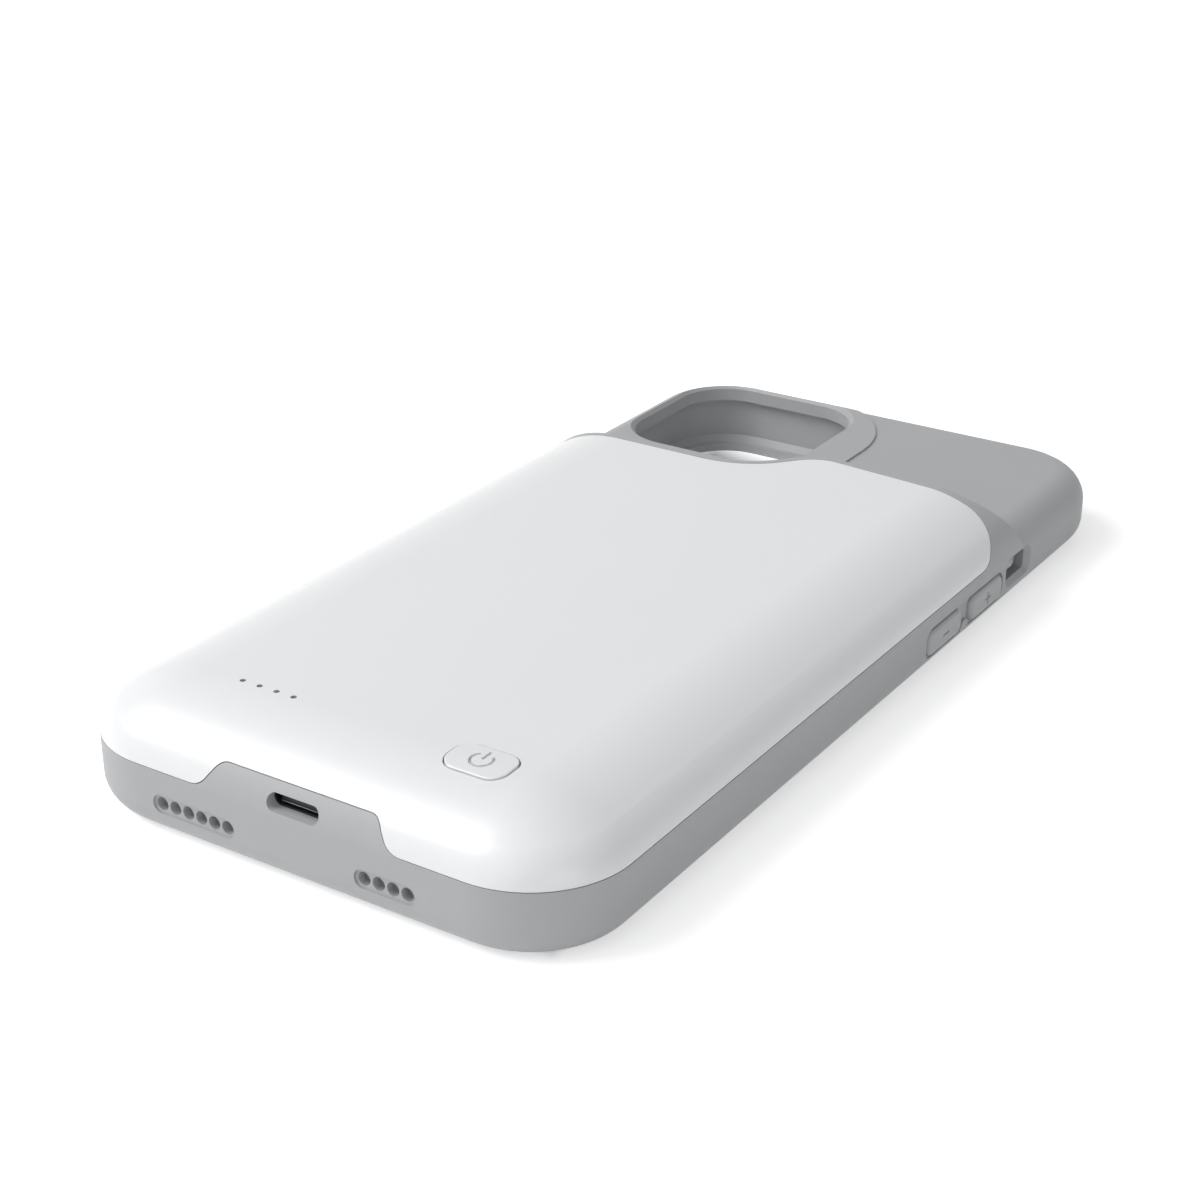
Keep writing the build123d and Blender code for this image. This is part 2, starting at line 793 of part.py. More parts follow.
with BuildPart() as tact_switch:
    with BuildSketch(Plane.XY.offset(board_top)):
        with Locations((button_x, button_y)):
            Rectangle(tact_size, tact_size)
    extrude(amount=tact_tall)
    with BuildSketch(Plane.XY.offset(tact_top)):
        with Locations((button_x, button_y)):
            Circle(plunger_d / 2 + hole_play)
    extrude(amount=-(plunger_sunk + button_stroke + hole_play), mode=Mode.SUBTRACT)
tact_switch.part.label = "tact_switch"
export_step(tact_switch.part, "parts/tact_switch.step")

with BuildPart() as tact_plunger:
    with BuildSketch(Plane.XY.offset(tact_top - plunger_sunk)):
        with Locations((button_x, button_y)):
            Circle(plunger_d / 2)
    extrude(amount=plunger_show + plunger_sunk)
tact_plunger.part.label = "tact_plunger"
export_step(tact_plunger.part, "parts/tact_plunger.step")

with BuildPart() as light_guide:
    with BuildSketch(Plane.XY.offset(guide_low)):
        with Locations((light_x, light_y)):
            with GridLocations(light_pitch, 1, light_count, 1):
                Circle(light_d / 2 - light_sink)
    extrude(amount=hump_height - guide_low)
    add(hump_body(light_sink), mode=Mode.INTERSECT)
    bar_long = (light_count - 1) * light_pitch + 2 * guide_end
    with BuildSketch(Plane.XY.offset(guide_low)):
        with Locations((light_x, light_y)):
            Rectangle(bar_long, guide_deep)
    extrude(amount=guide_tall)
    with BuildSketch(Plane.XY.offset(board_top)):
        with Locations((light_x, light_y)):
            with GridLocations(bar_long - guide_foot, 1, 2, 1):
                Rectangle(guide_foot, guide_deep)
    extrude(amount=guide_low - board_top)
light_guide.part.label = "light_guide"
export_step(light_guide.part, "parts/light_guide.step")

with BuildPart() as indicator_leds:
    with BuildSketch(Plane.XY.offset(board_top)):
        with Locations((light_x, light_y)):
            with GridLocations(light_pitch, 1, light_count, 1):
                Rectangle(led_long, led_wide)
    extrude(amount=led_tall)
indicator_leds.part.label = "indicator_leds"
export_step(indicator_leds.part, "parts/indicator_leds.step")

with BuildPart() as main_board:
    with BuildSketch(Plane.XY.offset(board_bottom)):
        with Locations((0, (board_low + board_high) / 2)):
            RectangleRounded(2 * board_half, board_deep, board_round)
        with Locations((0, (board_low + port_back) / 2)):
            notch_deep = port_back - board_low + notch_gap
            Rectangle(port_wide + 2 * notch_gap, notch_deep, mode=Mode.SUBTRACT)
        with Locations(*pegs_at):
            Circle(peg_d / 2 + hole_play, mode=Mode.SUBTRACT)
        with Locations(*screws_at):
            Circle(screw_d / 2 + hole_play, mode=Mode.SUBTRACT)
        with Locations(*pins_at):
            with GridLocations(pin_pitch, 1, 2, 1):
                Rectangle(pin_size + 2 * hole_play, pin_size + 2 * hole_play, mode=Mode.SUBTRACT)
    extrude(amount=board_thick)
main_board.part.label = "main_board"
export_step(main_board.part, "parts/main_board.step")

with BuildPart() as board_screws:
    with BuildSketch(Plane.XY.offset(board_top)):
        with Locations(*screws_at):
            Circle(screw_head_d / 2)
    extrude(amount=screw_head)
    with BuildSketch(Plane.XY.offset(board_top)):
        with Locations(*screws_at):
            Circle(screw_d / 2)
    extrude(amount=-screw_long)
board_screws.part.label = "board_screws"
export_step(board_screws.part, "parts/board_screws.step")

with BuildPart() as charge_chip:
    with BuildSketch(Plane.XY.offset(board_top)):
        with Locations((chip_x, chip_y)):
            Rectangle(chip_size, chip_size)
    extrude(amount=chip_tall)
charge_chip.part.label = "charge_chip"
export_step(charge_chip.part, "parts/charge_chip.step")

with BuildPart() as power_coil:
    with BuildSketch(Plane.XY.offset(board_top)):
        with Locations((coil_x, chip_y)):
            Rectangle(coil_size, coil_size)
    extrude(amount=coil_tall)
power_coil.part.label = "power_coil"
export_step(power_coil.part, "parts/power_coil.step")

with BuildPart() as board_capacitors:
    with BuildSketch(Plane.XY.offset(board_top)):
        with Locations((chip_x, chip_y)):
            with GridLocations(chip_size + cap_long + cap_gap, cap_wide + cap_gap, 2, 2):
                Rectangle(cap_long, cap_wide)
    extrude(amount=cap_wide)
board_capacitors.part.label = "board_capacitors"
export_step(board_capacitors.part, "parts/board_capacitors.step")

with BuildPart() as battery_cell:
    with BuildSketch(Plane.XY.offset(cell_bottom)):
        with Locations((0, (cell_low + cell_high) / 2)):
            Rectangle(2 * cell_half, cell_high - cell_low)
    extrude(amount=cell_thick)
    fillet(battery_cell.edges().filter_by(Axis.Y), cell_round)
battery_cell.part.label = "battery_cell"
export_step(battery_cell.part, "parts/battery_cell.step")

with BuildPart() as cell_tape:
    with BuildSketch(Plane.XY.offset(plate_top)):
        with Locations((0, (cell_low + cell_high) / 2)):
            Rectangle(2 * (cell_half - tape_side), cell_high - cell_low - 2 * tape_end)
    extrude(amount=tape_thick)
cell_tape.part.label = "cell_tape"
export_step(cell_tape.part, "parts/cell_tape.step")

with BuildPart() as cell_guard_board:
    with BuildSketch(Plane.XY.offset(cell_bottom + guard_lift)):
        with Locations((0, cell_low - guard_deep / 2)):
            Rectangle(guard_wide, guard_deep)
    extrude(amount=guard_tall)
cell_guard_board.part.label = "cell_guard_board"
export_step(cell_guard_board.part, "parts/cell_guard_board.step")


def lead_body(x):
    """Wire from the battery's guard board down to the main board."""
    start = (x, cell_low - guard_deep, lead_z)
    bend = (x, board_high - lead_land, lead_z)
    with BuildPart() as body:
        with BuildLine():
            way = Polyline(start, bend, (x, board_high - lead_land, board_top))
        with BuildSketch(chin_plane(cell_low - guard_deep)):
            with Locations((x, lead_z)):
                Circle(lead_d / 2)
        sweep(path=way, transition=Transition.RIGHT)
    return body.part


with BuildPart() as lead_red:
    add(lead_body(lead_x))
lead_red.part.label = "lead_red"
export_step(lead_red.part, "parts/lead_red.step")

with BuildPart() as lead_black:
    add(lead_body(-lead_x))
lead_black.part.label = "lead_black"
export_step(lead_black.part, "parts/lead_black.step")

with BuildPart() as port_shell:
    with BuildSketch(chin_plane(port_back)):
        with Locations((0, port_z)):
            SlotOverall(port_wide, port_tall)
            SlotOverall(port_wide - 2 * port_skin, port_tall - 2 * port_skin, mode=Mode.SUBTRACT)
    extrude(amount=port_long)
    with BuildSketch(Plane.XY.offset(board_top)):
        with Locations((0, port_back - port_tab)):
            Rectangle(port_wide + 2 * port_tab, port_tab)
            Rectangle(port_wide - port_skin, port_tab, mode=Mode.SUBTRACT)
    extrude(amount=port_skin)
port_shell.part.label = "port_shell"
export_step(port_shell.part, "parts/port_shell.step")

with BuildPart() as port_blade:
    with BuildSketch(chin_plane(port_back)):
        with Locations((0, port_z)):
            SlotOverall(port_wide - 2 * port_skin, port_tall - 2 * port_skin)
    extrude(amount=port_long - port_blade_long - port_blade_sunk)
    with BuildSketch(chin_plane(port_back)):
        with Locations((0, port_z)):
            SlotOverall(port_blade_wide, port_blade_thick)
    extrude(amount=port_long - port_blade_sunk)
port_blade.part.label = "port_blade"
export_step(port_blade.part, "parts/port_blade.step")

with BuildPart() as plug_shell:
    with BuildSketch(chin_plane(bay_low + plug_reach)):
        with Locations((0, mid_phone)):
            SlotOverall(plug_wide, plug_tall)
            SlotOverall(plug_wide - 2 * plug_skin, plug_tall - 2 * plug_skin, mode=Mode.SUBTRACT)
    extrude(amount=plug_reach + bay_low - holder_back)
    chamfer(plug_shell.faces().sort_by(Axis.Y)[-1].outer_wire().edges(), plug_edge_bevel)
plug_shell.part.label = "plug_shell"
export_step(plug_shell.part, "parts/plug_shell.step")

with BuildPart() as plug_core:
    with BuildSketch(chin_plane(bay_low + plug_floor)):
        with Locations((0, mid_phone)):
            SlotOverall(plug_wide - 2 * plug_skin, plug_tall - 2 * plug_skin)
    extrude(amount=bay_low + plug_floor - holder_back)
plug_core.part.label = "plug_core"
export_step(plug_core.part, "parts/plug_core.step")

with BuildPart() as plug_contacts:
    with BuildSketch(chin_plane(bay_low + plug_reach - contact_sunk)):
        with Locations((0, mid_phone)):
            rows = plug_tall - 2 * plug_skin - contact_thick
            with GridLocations(contact_pitch, rows, contact_count, 2):
                Rectangle(contact_wide, contact_thick)
    extrude(amount=plug_reach - contact_sunk - plug_floor)
plug_contacts.part.label = "plug_contacts"
export_step(plug_contacts.part, "parts/plug_contacts.step")

with BuildPart() as plug_holder:
    with BuildSketch(chin_plane(wall_face - holder_gap)):
        with Locations((0, mid_phone)):
            Rectangle(2 * holder_half, holder_tall)
            SlotOverall(plug_wide, plug_tall, mode=Mode.SUBTRACT)
    extrude(amount=holder_thick)
plug_holder.part.label = "plug_holder"
export_step(plug_holder.part, "parts/plug_holder.step")

with BuildPart() as link_board:
    with BuildSketch(chin_plane(holder_back)):
        with Locations((0, (holder_low + link_top) / 2)):
            Rectangle(2 * holder_half, link_top - holder_low)
    extrude(amount=link_board_thick)
link_board.part.label = "link_board"
export_step(link_board.part, "parts/link_board.step")

with BuildPart() as link_pins:
    with BuildSketch(Plane.XY.offset(holder_top + link_board_gap)):
        with Locations(*pins_at):
            with GridLocations(pin_pitch, 1, 2, 1):
                Rectangle(pin_size, pin_size)
    extrude(amount=board_top + pin_show - holder_top - link_board_gap)
link_pins.part.label = "link_pins"
export_step(link_pins.part, "parts/link_pins.step")
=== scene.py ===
"""Battery charging case, dressed for its picture: finishes, engraved signs, floor, lamps and camera.

Lengths are metres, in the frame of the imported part: +Z points out of the back of the case, +Y to the
camera end and +X to the side with the volume keys. Sizes of the pieces come from the frame.
"""

import json
import logging
import math
from abc import ABC, abstractmethod
from dataclasses import dataclass
from enum import Enum

import bmesh
import bpy
from mathutils import Matrix, Vector

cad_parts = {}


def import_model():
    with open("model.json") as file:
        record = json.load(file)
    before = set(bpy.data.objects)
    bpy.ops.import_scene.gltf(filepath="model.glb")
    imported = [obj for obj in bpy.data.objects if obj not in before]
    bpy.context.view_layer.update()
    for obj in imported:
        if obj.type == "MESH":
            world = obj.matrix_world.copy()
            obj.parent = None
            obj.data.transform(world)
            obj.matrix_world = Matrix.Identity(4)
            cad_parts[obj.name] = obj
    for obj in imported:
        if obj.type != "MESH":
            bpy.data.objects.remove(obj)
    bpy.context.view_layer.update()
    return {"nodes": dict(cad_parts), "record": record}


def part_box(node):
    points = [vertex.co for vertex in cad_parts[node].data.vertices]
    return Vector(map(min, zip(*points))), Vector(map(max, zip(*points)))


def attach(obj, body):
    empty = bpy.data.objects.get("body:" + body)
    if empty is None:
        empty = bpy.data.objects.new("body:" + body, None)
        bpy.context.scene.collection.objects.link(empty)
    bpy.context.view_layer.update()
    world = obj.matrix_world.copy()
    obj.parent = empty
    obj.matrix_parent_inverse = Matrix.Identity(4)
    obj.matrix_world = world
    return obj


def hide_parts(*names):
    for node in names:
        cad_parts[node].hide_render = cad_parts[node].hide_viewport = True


LOG = logging.getLogger("battery_case")
MM = 0.001

# Tolerances: points closer than TOUCH are one, those further apart than APART are two, and
# those closer to a cut than CUT_CLOSE lie on it
TOUCH = 1e-6
APART = 1e-5
CUT_CLOSE = 1e-7

# Cosine above which a face looks along an axis, and angle below which two faces are one plane
FACING = 0.9
FLAT_ANGLE = 0.01

# Shading and facets of the round shapes
SMOOTH_ANGLE = math.radians(35.0)
FLAT_FACE_WEIGHT = 100
ROUND_PROFILE = 0.5
ROD_FACETS = 32

PLASTIC_IOR = 1.49
LACQUER_IOR = 1.5
WHITE = (1.0, 1.0, 1.0, 1.0)

Colour = tuple[float, float, float]
Shape = bmesh.types.BMesh
Edge = bmesh.types.BMEdge
NodeGroup = bpy.types.ShaderNodeTree
Socket = bpy.types.NodeSocket


class Axis(Enum):
    """Axes of the frame, with their places in a vector."""

    X = 0
    Y = 1
    Z = 2


class Sign(Enum):
    """Generic signs that are engraved in keys and buttons."""

    PLUS = "plus"
    MINUS = "minus"
    POWER = "power"


class Side(Enum):
    """Half of the case that a key or a row of holes sits in, with the direction out of it."""

    RIGHT = 1
    LEFT = -1


class Effect(Enum):
    """Shared surface effects, each one a shader node group."""

    MOULDED_GRAIN = "moulded_grain"
    ROLLED_STREAKS = "rolled_streaks"
    BOARD_TRACKS = "board_tracks"
    FOIL_CREASES = "foil_creases"


def combine(tree: bpy.types.NodeTree, operation: str, first: Socket, second: Socket | float) -> Socket:
    """Adds one step of arithmetic to a node tree.

    Args:
        tree: The node tree.
        operation: Name of the arithmetic.
        first: The socket that goes in.
        second: The other socket, or a plain number.

    Returns:
        The socket of the result.
    """
    node = tree.nodes.new("ShaderNodeMath")
    node.operation = operation
    tree.links.new(first, node.inputs[0])
    if isinstance(second, Socket):
        tree.links.new(second, node.inputs[1])
    else:
        node.inputs[1].default_value = second
    return node.outputs[0]


def ramp(
    tree: bpy.types.NodeTree,
    value: Socket,
    span: tuple[float, float],
    levels: tuple[float, float],
) -> Socket:
    """Adds a ramp to a node tree, level before its start and after its end.

    Args:
        tree: The node tree.
        value: The socket that goes in.
        span: Values at which the ramp starts and ends.
        levels: Results at the start and at the end.

    Returns:
        The socket of the result.
    """
    node = tree.nodes.new("ShaderNodeMapRange")
    for place, number in zip(("From Min", "From Max", "To Min", "To Max"), (*span, *levels)):
        node.inputs[place].default_value = number
    tree.links.new(value, node.inputs["Value"])
    return node.outputs["Result"]


def looked_at(tree: bpy.types.NodeTree) -> Socket:
    """Tells the camera's view, mirrored views and views through clear pieces from plain light.

    Args:
        tree: The node tree.

    Returns:
        A socket that is 1 for those views and 0 for light that falls on the case.
    """
    path = tree.nodes.new("ShaderNodeLightPath")
    seen = path.outputs["Is Camera Ray"]
    for kind in ("Is Glossy Ray", "Is Transmission Ray"):
        seen = combine(tree, "MAXIMUM", seen, path.outputs[kind])
    return seen


class EffectLibrary:
    """Builds each shader node group once and hands it out."""

    SLOW_DETAIL = 1.0
    MOULD_DETAIL = 2.0
    MOULD_SLOW = 0.02
    STREAK_DETAIL = 3.0
    STREAK_SLOW = 0.1
    STREAK_STRETCH = (1.0, 0.05, 1.0)
    TRACK_EDGE = (0.42, 0.5)
    CREASE_DETAIL = 4.0
    CREASE_SLOW = 0.25
    CREASE_RIDGE = 0.25

    def __init__(self) -> None:
        """Starts with no group built."""
        self._groups: dict[Effect, NodeGroup] = {}

    def get(self, effect: Effect) -> NodeGroup:
        """Finds or builds the group of an effect.

        Args:
            effect: The effect that a material asks for.

        Returns:
            The shader node group.
        """
        if effect not in self._groups:
            makers = {
                Effect.MOULDED_GRAIN: self._moulded_grain,
                Effect.ROLLED_STREAKS: self._rolled_streaks,
                Effect.BOARD_TRACKS: self._board_tracks,
                Effect.FOIL_CREASES: self._foil_creases,
            }
            group = self._new_group(effect)
            makers[effect](group)
            self._groups[effect] = group
        return self._groups[effect]

    @staticmethod
    def _new_group(effect: Effect) -> NodeGroup:
        """Makes an empty group with the sockets that all effects share.

        Args:
            effect: The effect that the group is for.

        Returns:
            A node group with Grain, Height and Mottle sockets and its two end nodes.
        """
        group = bpy.data.node_groups.new(effect.value, "ShaderNodeTree")
        group.interface.new_socket("Grain", in_out="INPUT", socket_type="NodeSocketFloat")
        group.interface.new_socket("Height", in_out="OUTPUT", socket_type="NodeSocketFloat")
        group.interface.new_socket("Mottle", in_out="OUTPUT", socket_type="NodeSocketFloat")
        group.nodes.new("NodeGroupInput").name = "ends_in"
        group.nodes.new("NodeGroupOutput").name = "ends_out"
        return group

    @staticmethod
    def _noise(group: NodeGroup, detail: float, share: float) -> bpy.types.ShaderNode:
        """Adds a noise on Object coordinates whose scale follows the Grain input.

        Args:
            group: The group to add to.
            detail: Octaves of the noise.
            share: Scale of the noise as a share of Grain.

        Returns:
            The noise node.
        """
        place = group.nodes.new("ShaderNodeTexCoord")
        noise = group.nodes.new("ShaderNodeTexNoise")
        noise.inputs["Detail"].default_value = detail
        scale = combine(group, "MULTIPLY", group.nodes["ends_in"].outputs["Grain"], share)
        group.links.new(scale, noise.inputs["Scale"])
        group.links.new(place.outputs["Object"], noise.inputs["Vector"])
        return noise

    def _fine_and_slow(self, group: NodeGroup, detail: float, slow: float) -> bpy.types.ShaderNode:
        """Links a fine noise to Height and a slow one to Mottle.

        Args:
            group: The empty group.
            detail: Octaves of the fine noise.
            slow: Scale of the slow noise as a share of Grain.

        Returns:
            The fine noise.
        """
        fine = self._noise(group, detail, 1.0)
        uneven = self._noise(group, self.SLOW_DETAIL, slow)
        ends = group.nodes["ends_out"]
        group.links.new(fine.outputs["Fac"], ends.inputs["Height"])
        group.links.new(uneven.outputs["Fac"], ends.inputs["Mottle"])
        return fine

    def _moulded_grain(self, group: NodeGroup) -> None:
        """Fine spark-eroded grain of a mould, with a slow unevenness under it.

        Args:
            group: The empty group.
        """
        self._fine_and_slow(group, self.MOULD_DETAIL, self.MOULD_SLOW)

    def _rolled_streaks(self, group: NodeGroup) -> None:
        """Fine streaks of rolled and plated sheet, drawn out along Y.

        Args:
            group: The empty group.
        """
        fine = self._fine_and_slow(group, self.STREAK_DETAIL, self.STREAK_SLOW)
        stretch = group.nodes.new("ShaderNodeMapping")
        stretch.inputs["Scale"].default_value = self.STREAK_STRETCH
        place = fine.inputs["Vector"].links[0].from_socket
        group.links.new(place, stretch.inputs["Vector"])
        group.links.new(stretch.outputs["Vector"], fine.inputs["Vector"])

    def _board_tracks(self, group: NodeGroup) -> None:
        """Copper tracks under the lacquer of a circuit board.

        Args:
            group: The empty group.
        """
        place = group.nodes.new("ShaderNodeTexCoord")
        tracks = group.nodes.new("ShaderNodeTexVoronoi")
        tracks.distance = "CHEBYCHEV"
        tracks.feature = "F1"
        step = group.nodes.new("ShaderNodeMapRange")
        step.interpolation_type = "SMOOTHSTEP"
        step.inputs["From Min"].default_value = self.TRACK_EDGE[0]
        step.inputs["From Max"].default_value = self.TRACK_EDGE[1]
        ends = group.nodes["ends_out"]
        group.links.new(place.outputs["Object"], tracks.inputs["Vector"])
        group.links.new(group.nodes["ends_in"].outputs["Grain"], tracks.inputs["Scale"])
        group.links.new(tracks.outputs["Distance"], step.inputs["Value"])
        group.links.new(step.outputs["Result"], ends.inputs["Height"])
        group.links.new(step.outputs["Result"], ends.inputs["Mottle"])

    def _foil_creases(self, group: NodeGroup) -> None:
        """Soft creases of a foil pouch drawn tight over a battery.

        Args:
            group: The empty group.
        """
        creases = self._fine_and_slow(group, self.CREASE_DETAIL, self.CREASE_SLOW)
        ridges = combine(group, "PINGPONG", creases.outputs["Fac"], self.CREASE_RIDGE)
        group.links.new(ridges, group.nodes["ends_out"].inputs["Height"])


@dataclass(frozen=True)
class Finish(ABC):
    """A surface finish, built as one procedural material.

    Attributes:
        slot: Material slot of the record that the finish belongs to.
        colour: Colour of the surface, linear.
        roughness: Middle roughness.
        grain: Size of the surface grain.
        depth: Height of the grain.
        mottle: How far colour and roughness wander over the surface.
    """

    slot: str
    colour: Colour
    roughness: float
    grain: float
    depth: float
    mottle: float

    @abstractmethod
    def effect(self) -> Effect:
        """Names the surface effect of this kind of finish."""

    @abstractmethod
    def dress(self, shader: bpy.types.ShaderNode) -> None:
        """Sets the shader's plain values for this kind of finish."""

    def second_colour(self) -> Colour:
        """Colour at the far end of the unevenness."""
        return tuple(channel * (1.0 - self.mottle) for channel in self.colour)

    def build(self, effects: EffectLibrary) -> bpy.types.Material:
        """Builds the material.

        Args:
            effects: The library of shared effects.

        Returns:
            A material with colour, roughness and grain from the effect's group.
        """
        material = bpy.data.materials.new(f"finish_{self.slot}")
        material.use_nodes = True
        nodes = material.node_tree.nodes
        links = material.node_tree.links
        shader = nodes["Principled BSDF"]
        surface = nodes.new("ShaderNodeGroup")
        surface.node_tree = effects.get(self.effect())
        surface.inputs["Grain"].default_value = 1.0 / self.grain
        tint = nodes.new("ShaderNodeMix")
        tint.data_type = "RGBA"
        tint.inputs["A"].default_value = (*self.colour, 1.0)
        tint.inputs["B"].default_value = (*self.second_colour(), 1.0)
        links.new(surface.outputs["Mottle"], tint.inputs["Factor"])
        links.new(tint.outputs["Result"], shader.inputs["Base Color"])
        levels = (self.roughness * (1.0 - self.mottle), self.roughness * (1.0 + self.mottle))
        spread = ramp(material.node_tree, surface.outputs["Mottle"], (0.0, 1.0), levels)
        links.new(spread, shader.inputs["Roughness"])
        bump = nodes.new("ShaderNodeBump")
        bump.inputs["Strength"].default_value = 1.0
        bump.inputs["Distance"].default_value = self.depth
        links.new(surface.outputs["Height"], bump.inputs["Height"])
        links.new(bump.outputs["Normal"], shader.inputs["Normal"])
        self.dress(shader)
        return material


@dataclass(frozen=True)
class MouldedFinish(Finish):
    """Moulded plastic or rubber.

    Attributes:
        coat: Strength of a thin gloss over the grain.
    """

    coat: float = 0.0

    COAT_ROUGHNESS = 0.25

    def effect(self) -> Effect:
        """Names the grain of the mould."""
        return Effect.MOULDED_GRAIN

    def dress(self, shader: bpy.types.ShaderNode) -> None:
        """Gives plastic its index of refraction and its thin gloss.

        Args:
            shader: The shader of the material.
        """
        shader.inputs["IOR"].default_value = PLASTIC_IOR
        shader.inputs["Coat Weight"].default_value = self.coat
        shader.inputs["Coat Roughness"].default_value = self.COAT_ROUGHNESS


@dataclass(frozen=True)
class MetalFinish(Finish):
    """Rolled, plated sheet or turned metal."""

    def effect(self) -> Effect:
        """Names the streaks of rolled sheet."""
        return Effect.ROLLED_STREAKS

    def dress(self, shader: bpy.types.ShaderNode) -> None:
        """Makes the surface metallic."""
        shader.inputs["Metallic"].default_value = 1.0


@dataclass(frozen=True)
class FoilFinish(Finish):
    """Laminated foil pouch of the battery."""

    def effect(self) -> Effect:
        """Names the creases of the pouch."""
        return Effect.FOIL_CREASES

    def dress(self, shader: bpy.types.ShaderNode) -> None:
        """Makes the pouch metallic."""
        shader.inputs["Metallic"].default_value = 1.0


@dataclass(frozen=True)
class BoardFinish(Finish):
    """Lacquered circuit board.

    Attributes:
        track: Colour of the tracks under the lacquer, linear.
    """

    track: Colour = (0.06, 0.24, 0.12)

    def effect(self) -> Effect:
        """Names the tracks of the board."""
        return Effect.BOARD_TRACKS

    def second_colour(self) -> Colour:
        """Colour of the tracks."""
        return self.track

    def dress(self, shader: bpy.types.ShaderNode) -> None:
        """Gives the lacquer its index of refraction."""
        shader.inputs["IOR"].default_value = LACQUER_IOR


@dataclass(frozen=True)
class ClearFinish(Finish):
    """Clear moulded light guide."""

    LET_THROUGH = 0.85

    def effect(self) -> Effect:
        """Names the grain of the mould."""
        return Effect.MOULDED_GRAIN

    def dress(self, shader: bpy.types.ShaderNode) -> None:
        """Lets light through."""
        shader.inputs["IOR"].default_value = PLASTIC_IOR
        shader.inputs["Transmission Weight"].default_value = self.LET_THROUGH


FINISHES: tuple[Finish, ...] = (
    MouldedFinish("soft_grey", (0.445, 0.455, 0.468), 0.52, 0.22 * MM, 0.0012 * MM, 0.02),
    MouldedFinish("cover_white", (0.86, 0.87, 0.88), 0.36, 0.35 * MM, 0.0006 * MM, 0.015, coat=0.6),
    MouldedFinish("plate_grey", (0.36, 0.37, 0.385), 0.5, 0.3 * MM, 0.003 * MM, 0.03),
    MouldedFinish("key_grey", (0.475, 0.485, 0.5), 0.48, 0.22 * MM, 0.0012 * MM, 0.02),
    MouldedFinish("button_white", (0.84, 0.85, 0.86), 0.34, 0.35 * MM, 0.0006 * MM, 0.015, coat=0.6),
    MouldedFinish("black_plastic", (0.012, 0.012, 0.014), 0.42, 0.2 * MM, 0.002 * MM, 0.1),
    ClearFinish("clear_plastic", (0.55, 0.57, 0.6), 0.22, 0.3 * MM, 0.001 * MM, 0.02),
    MouldedFinish("led_body", (0.75, 0.7, 0.42), 0.3, 0.2 * MM, 0.001 * MM, 0.05),
    BoardFinish("board_green", (0.015, 0.11, 0.05), 0.3, 1.6 * MM, 0.02 * MM, 0.08),
    MetalFinish("screw_steel", (0.52, 0.52, 0.53), 0.32, 0.15 * MM, 0.002 * MM, 0.08),
    MouldedFinish("coil_grey", (0.09, 0.09, 0.095), 0.7, 0.12 * MM, 0.01 * MM, 0.15),
    MouldedFinish("capacitor_tan", (0.32, 0.22, 0.13), 0.45, 0.12 * MM, 0.004 * MM, 0.1),
    FoilFinish("cell_foil", (0.62, 0.63, 0.65), 0.34, 6.0 * MM, 0.15 * MM, 0.06),
    MouldedFinish("tape_white", (0.75, 0.75, 0.72), 0.6, 0.4 * MM, 0.01 * MM, 0.05),
    MouldedFinish("lead_red", (0.5, 0.02, 0.02), 0.45, 0.2 * MM, 0.004 * MM, 0.08),
    MouldedFinish("lead_black", (0.015, 0.015, 0.016), 0.45, 0.2 * MM, 0.004 * MM, 0.08),
    MetalFinish("connector_steel", (0.58, 0.58, 0.6), 0.26, 0.12 * MM, 0.002 * MM, 0.08),
    MetalFinish("contact_gold", (0.78, 0.54, 0.2), 0.24, 0.12 * MM, 0.001 * MM, 0.08),
)


class Wardrobe:
    """Holds one material for each slot of the record and puts them on pieces."""

    def __init__(self, record: dict) -> None:
        """Builds every finish and notes which slot each node wears.

        Args:
            record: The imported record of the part.
        """
        effects = EffectLibrary()
        self.materials = {finish.slot: finish.build(effects) for finish in FINISHES}
        self.node_slots = {row["node"]: row["material_slot"] for row in record["subparts"]}

    def dress_node(self, node: bpy.types.Object) -> None:
        """Gives a node of the frame the finish of its slot.

        Args:
            node: The node's object.
        """
        material = self.materials[self.node_slots[node.name]]
        if not node.material_slots:
            node.data.materials.append(material)
        for place in node.material_slots:
            place.material = material

    def dress_piece(self, piece: bpy.types.Object, slot: str) -> None:
        """Gives a new piece the finish of a slot.

        Args:
            piece: The piece's object.
            slot: The slot that it takes its finish from.
        """
        piece.data.materials.clear()
        piece.data.materials.append(self.materials[slot])


def piece_from(name: str, shape: Shape) -> bpy.types.Object:
    """Turns a bmesh into a smooth-shaded object at the origin.

    Args:
        name: Name of the piece.
        shape: The shape, which is freed.

    Returns:
        The new object, linked to the scene.
    """
    bmesh.ops.recalc_face_normals(shape, faces=shape.faces[:])
    mesh = bpy.data.meshes.new(name)
    shape.to_mesh(mesh)
    shape.free()
    smooth(mesh)
    piece = bpy.data.objects.new(name, mesh)
    bpy.context.scene.collection.objects.link(piece)
    return piece


def case_piece(name: str, shape: Shape, slot: str, wardrobe: Wardrobe) -> bpy.types.Object:
    """Makes a dressed piece that stays with the case.

    Args:
        name: Name of the piece.
        shape: The shape, which is freed.
        slot: The slot that it takes its finish from.
        wardrobe: The finishes.

    Returns:
        The finished piece.
    """
    piece = piece_from(name, shape)
    wardrobe.dress_piece(piece, slot)
    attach(piece, "case")
    return piece


def smooth(mesh: bpy.types.Mesh) -> None:
    """Shades a mesh smooth, with its sharper edges kept sharp."""
    mesh.shade_smooth()
    mesh.set_sharp_from_angle(angle=SMOOTH_ANGLE)


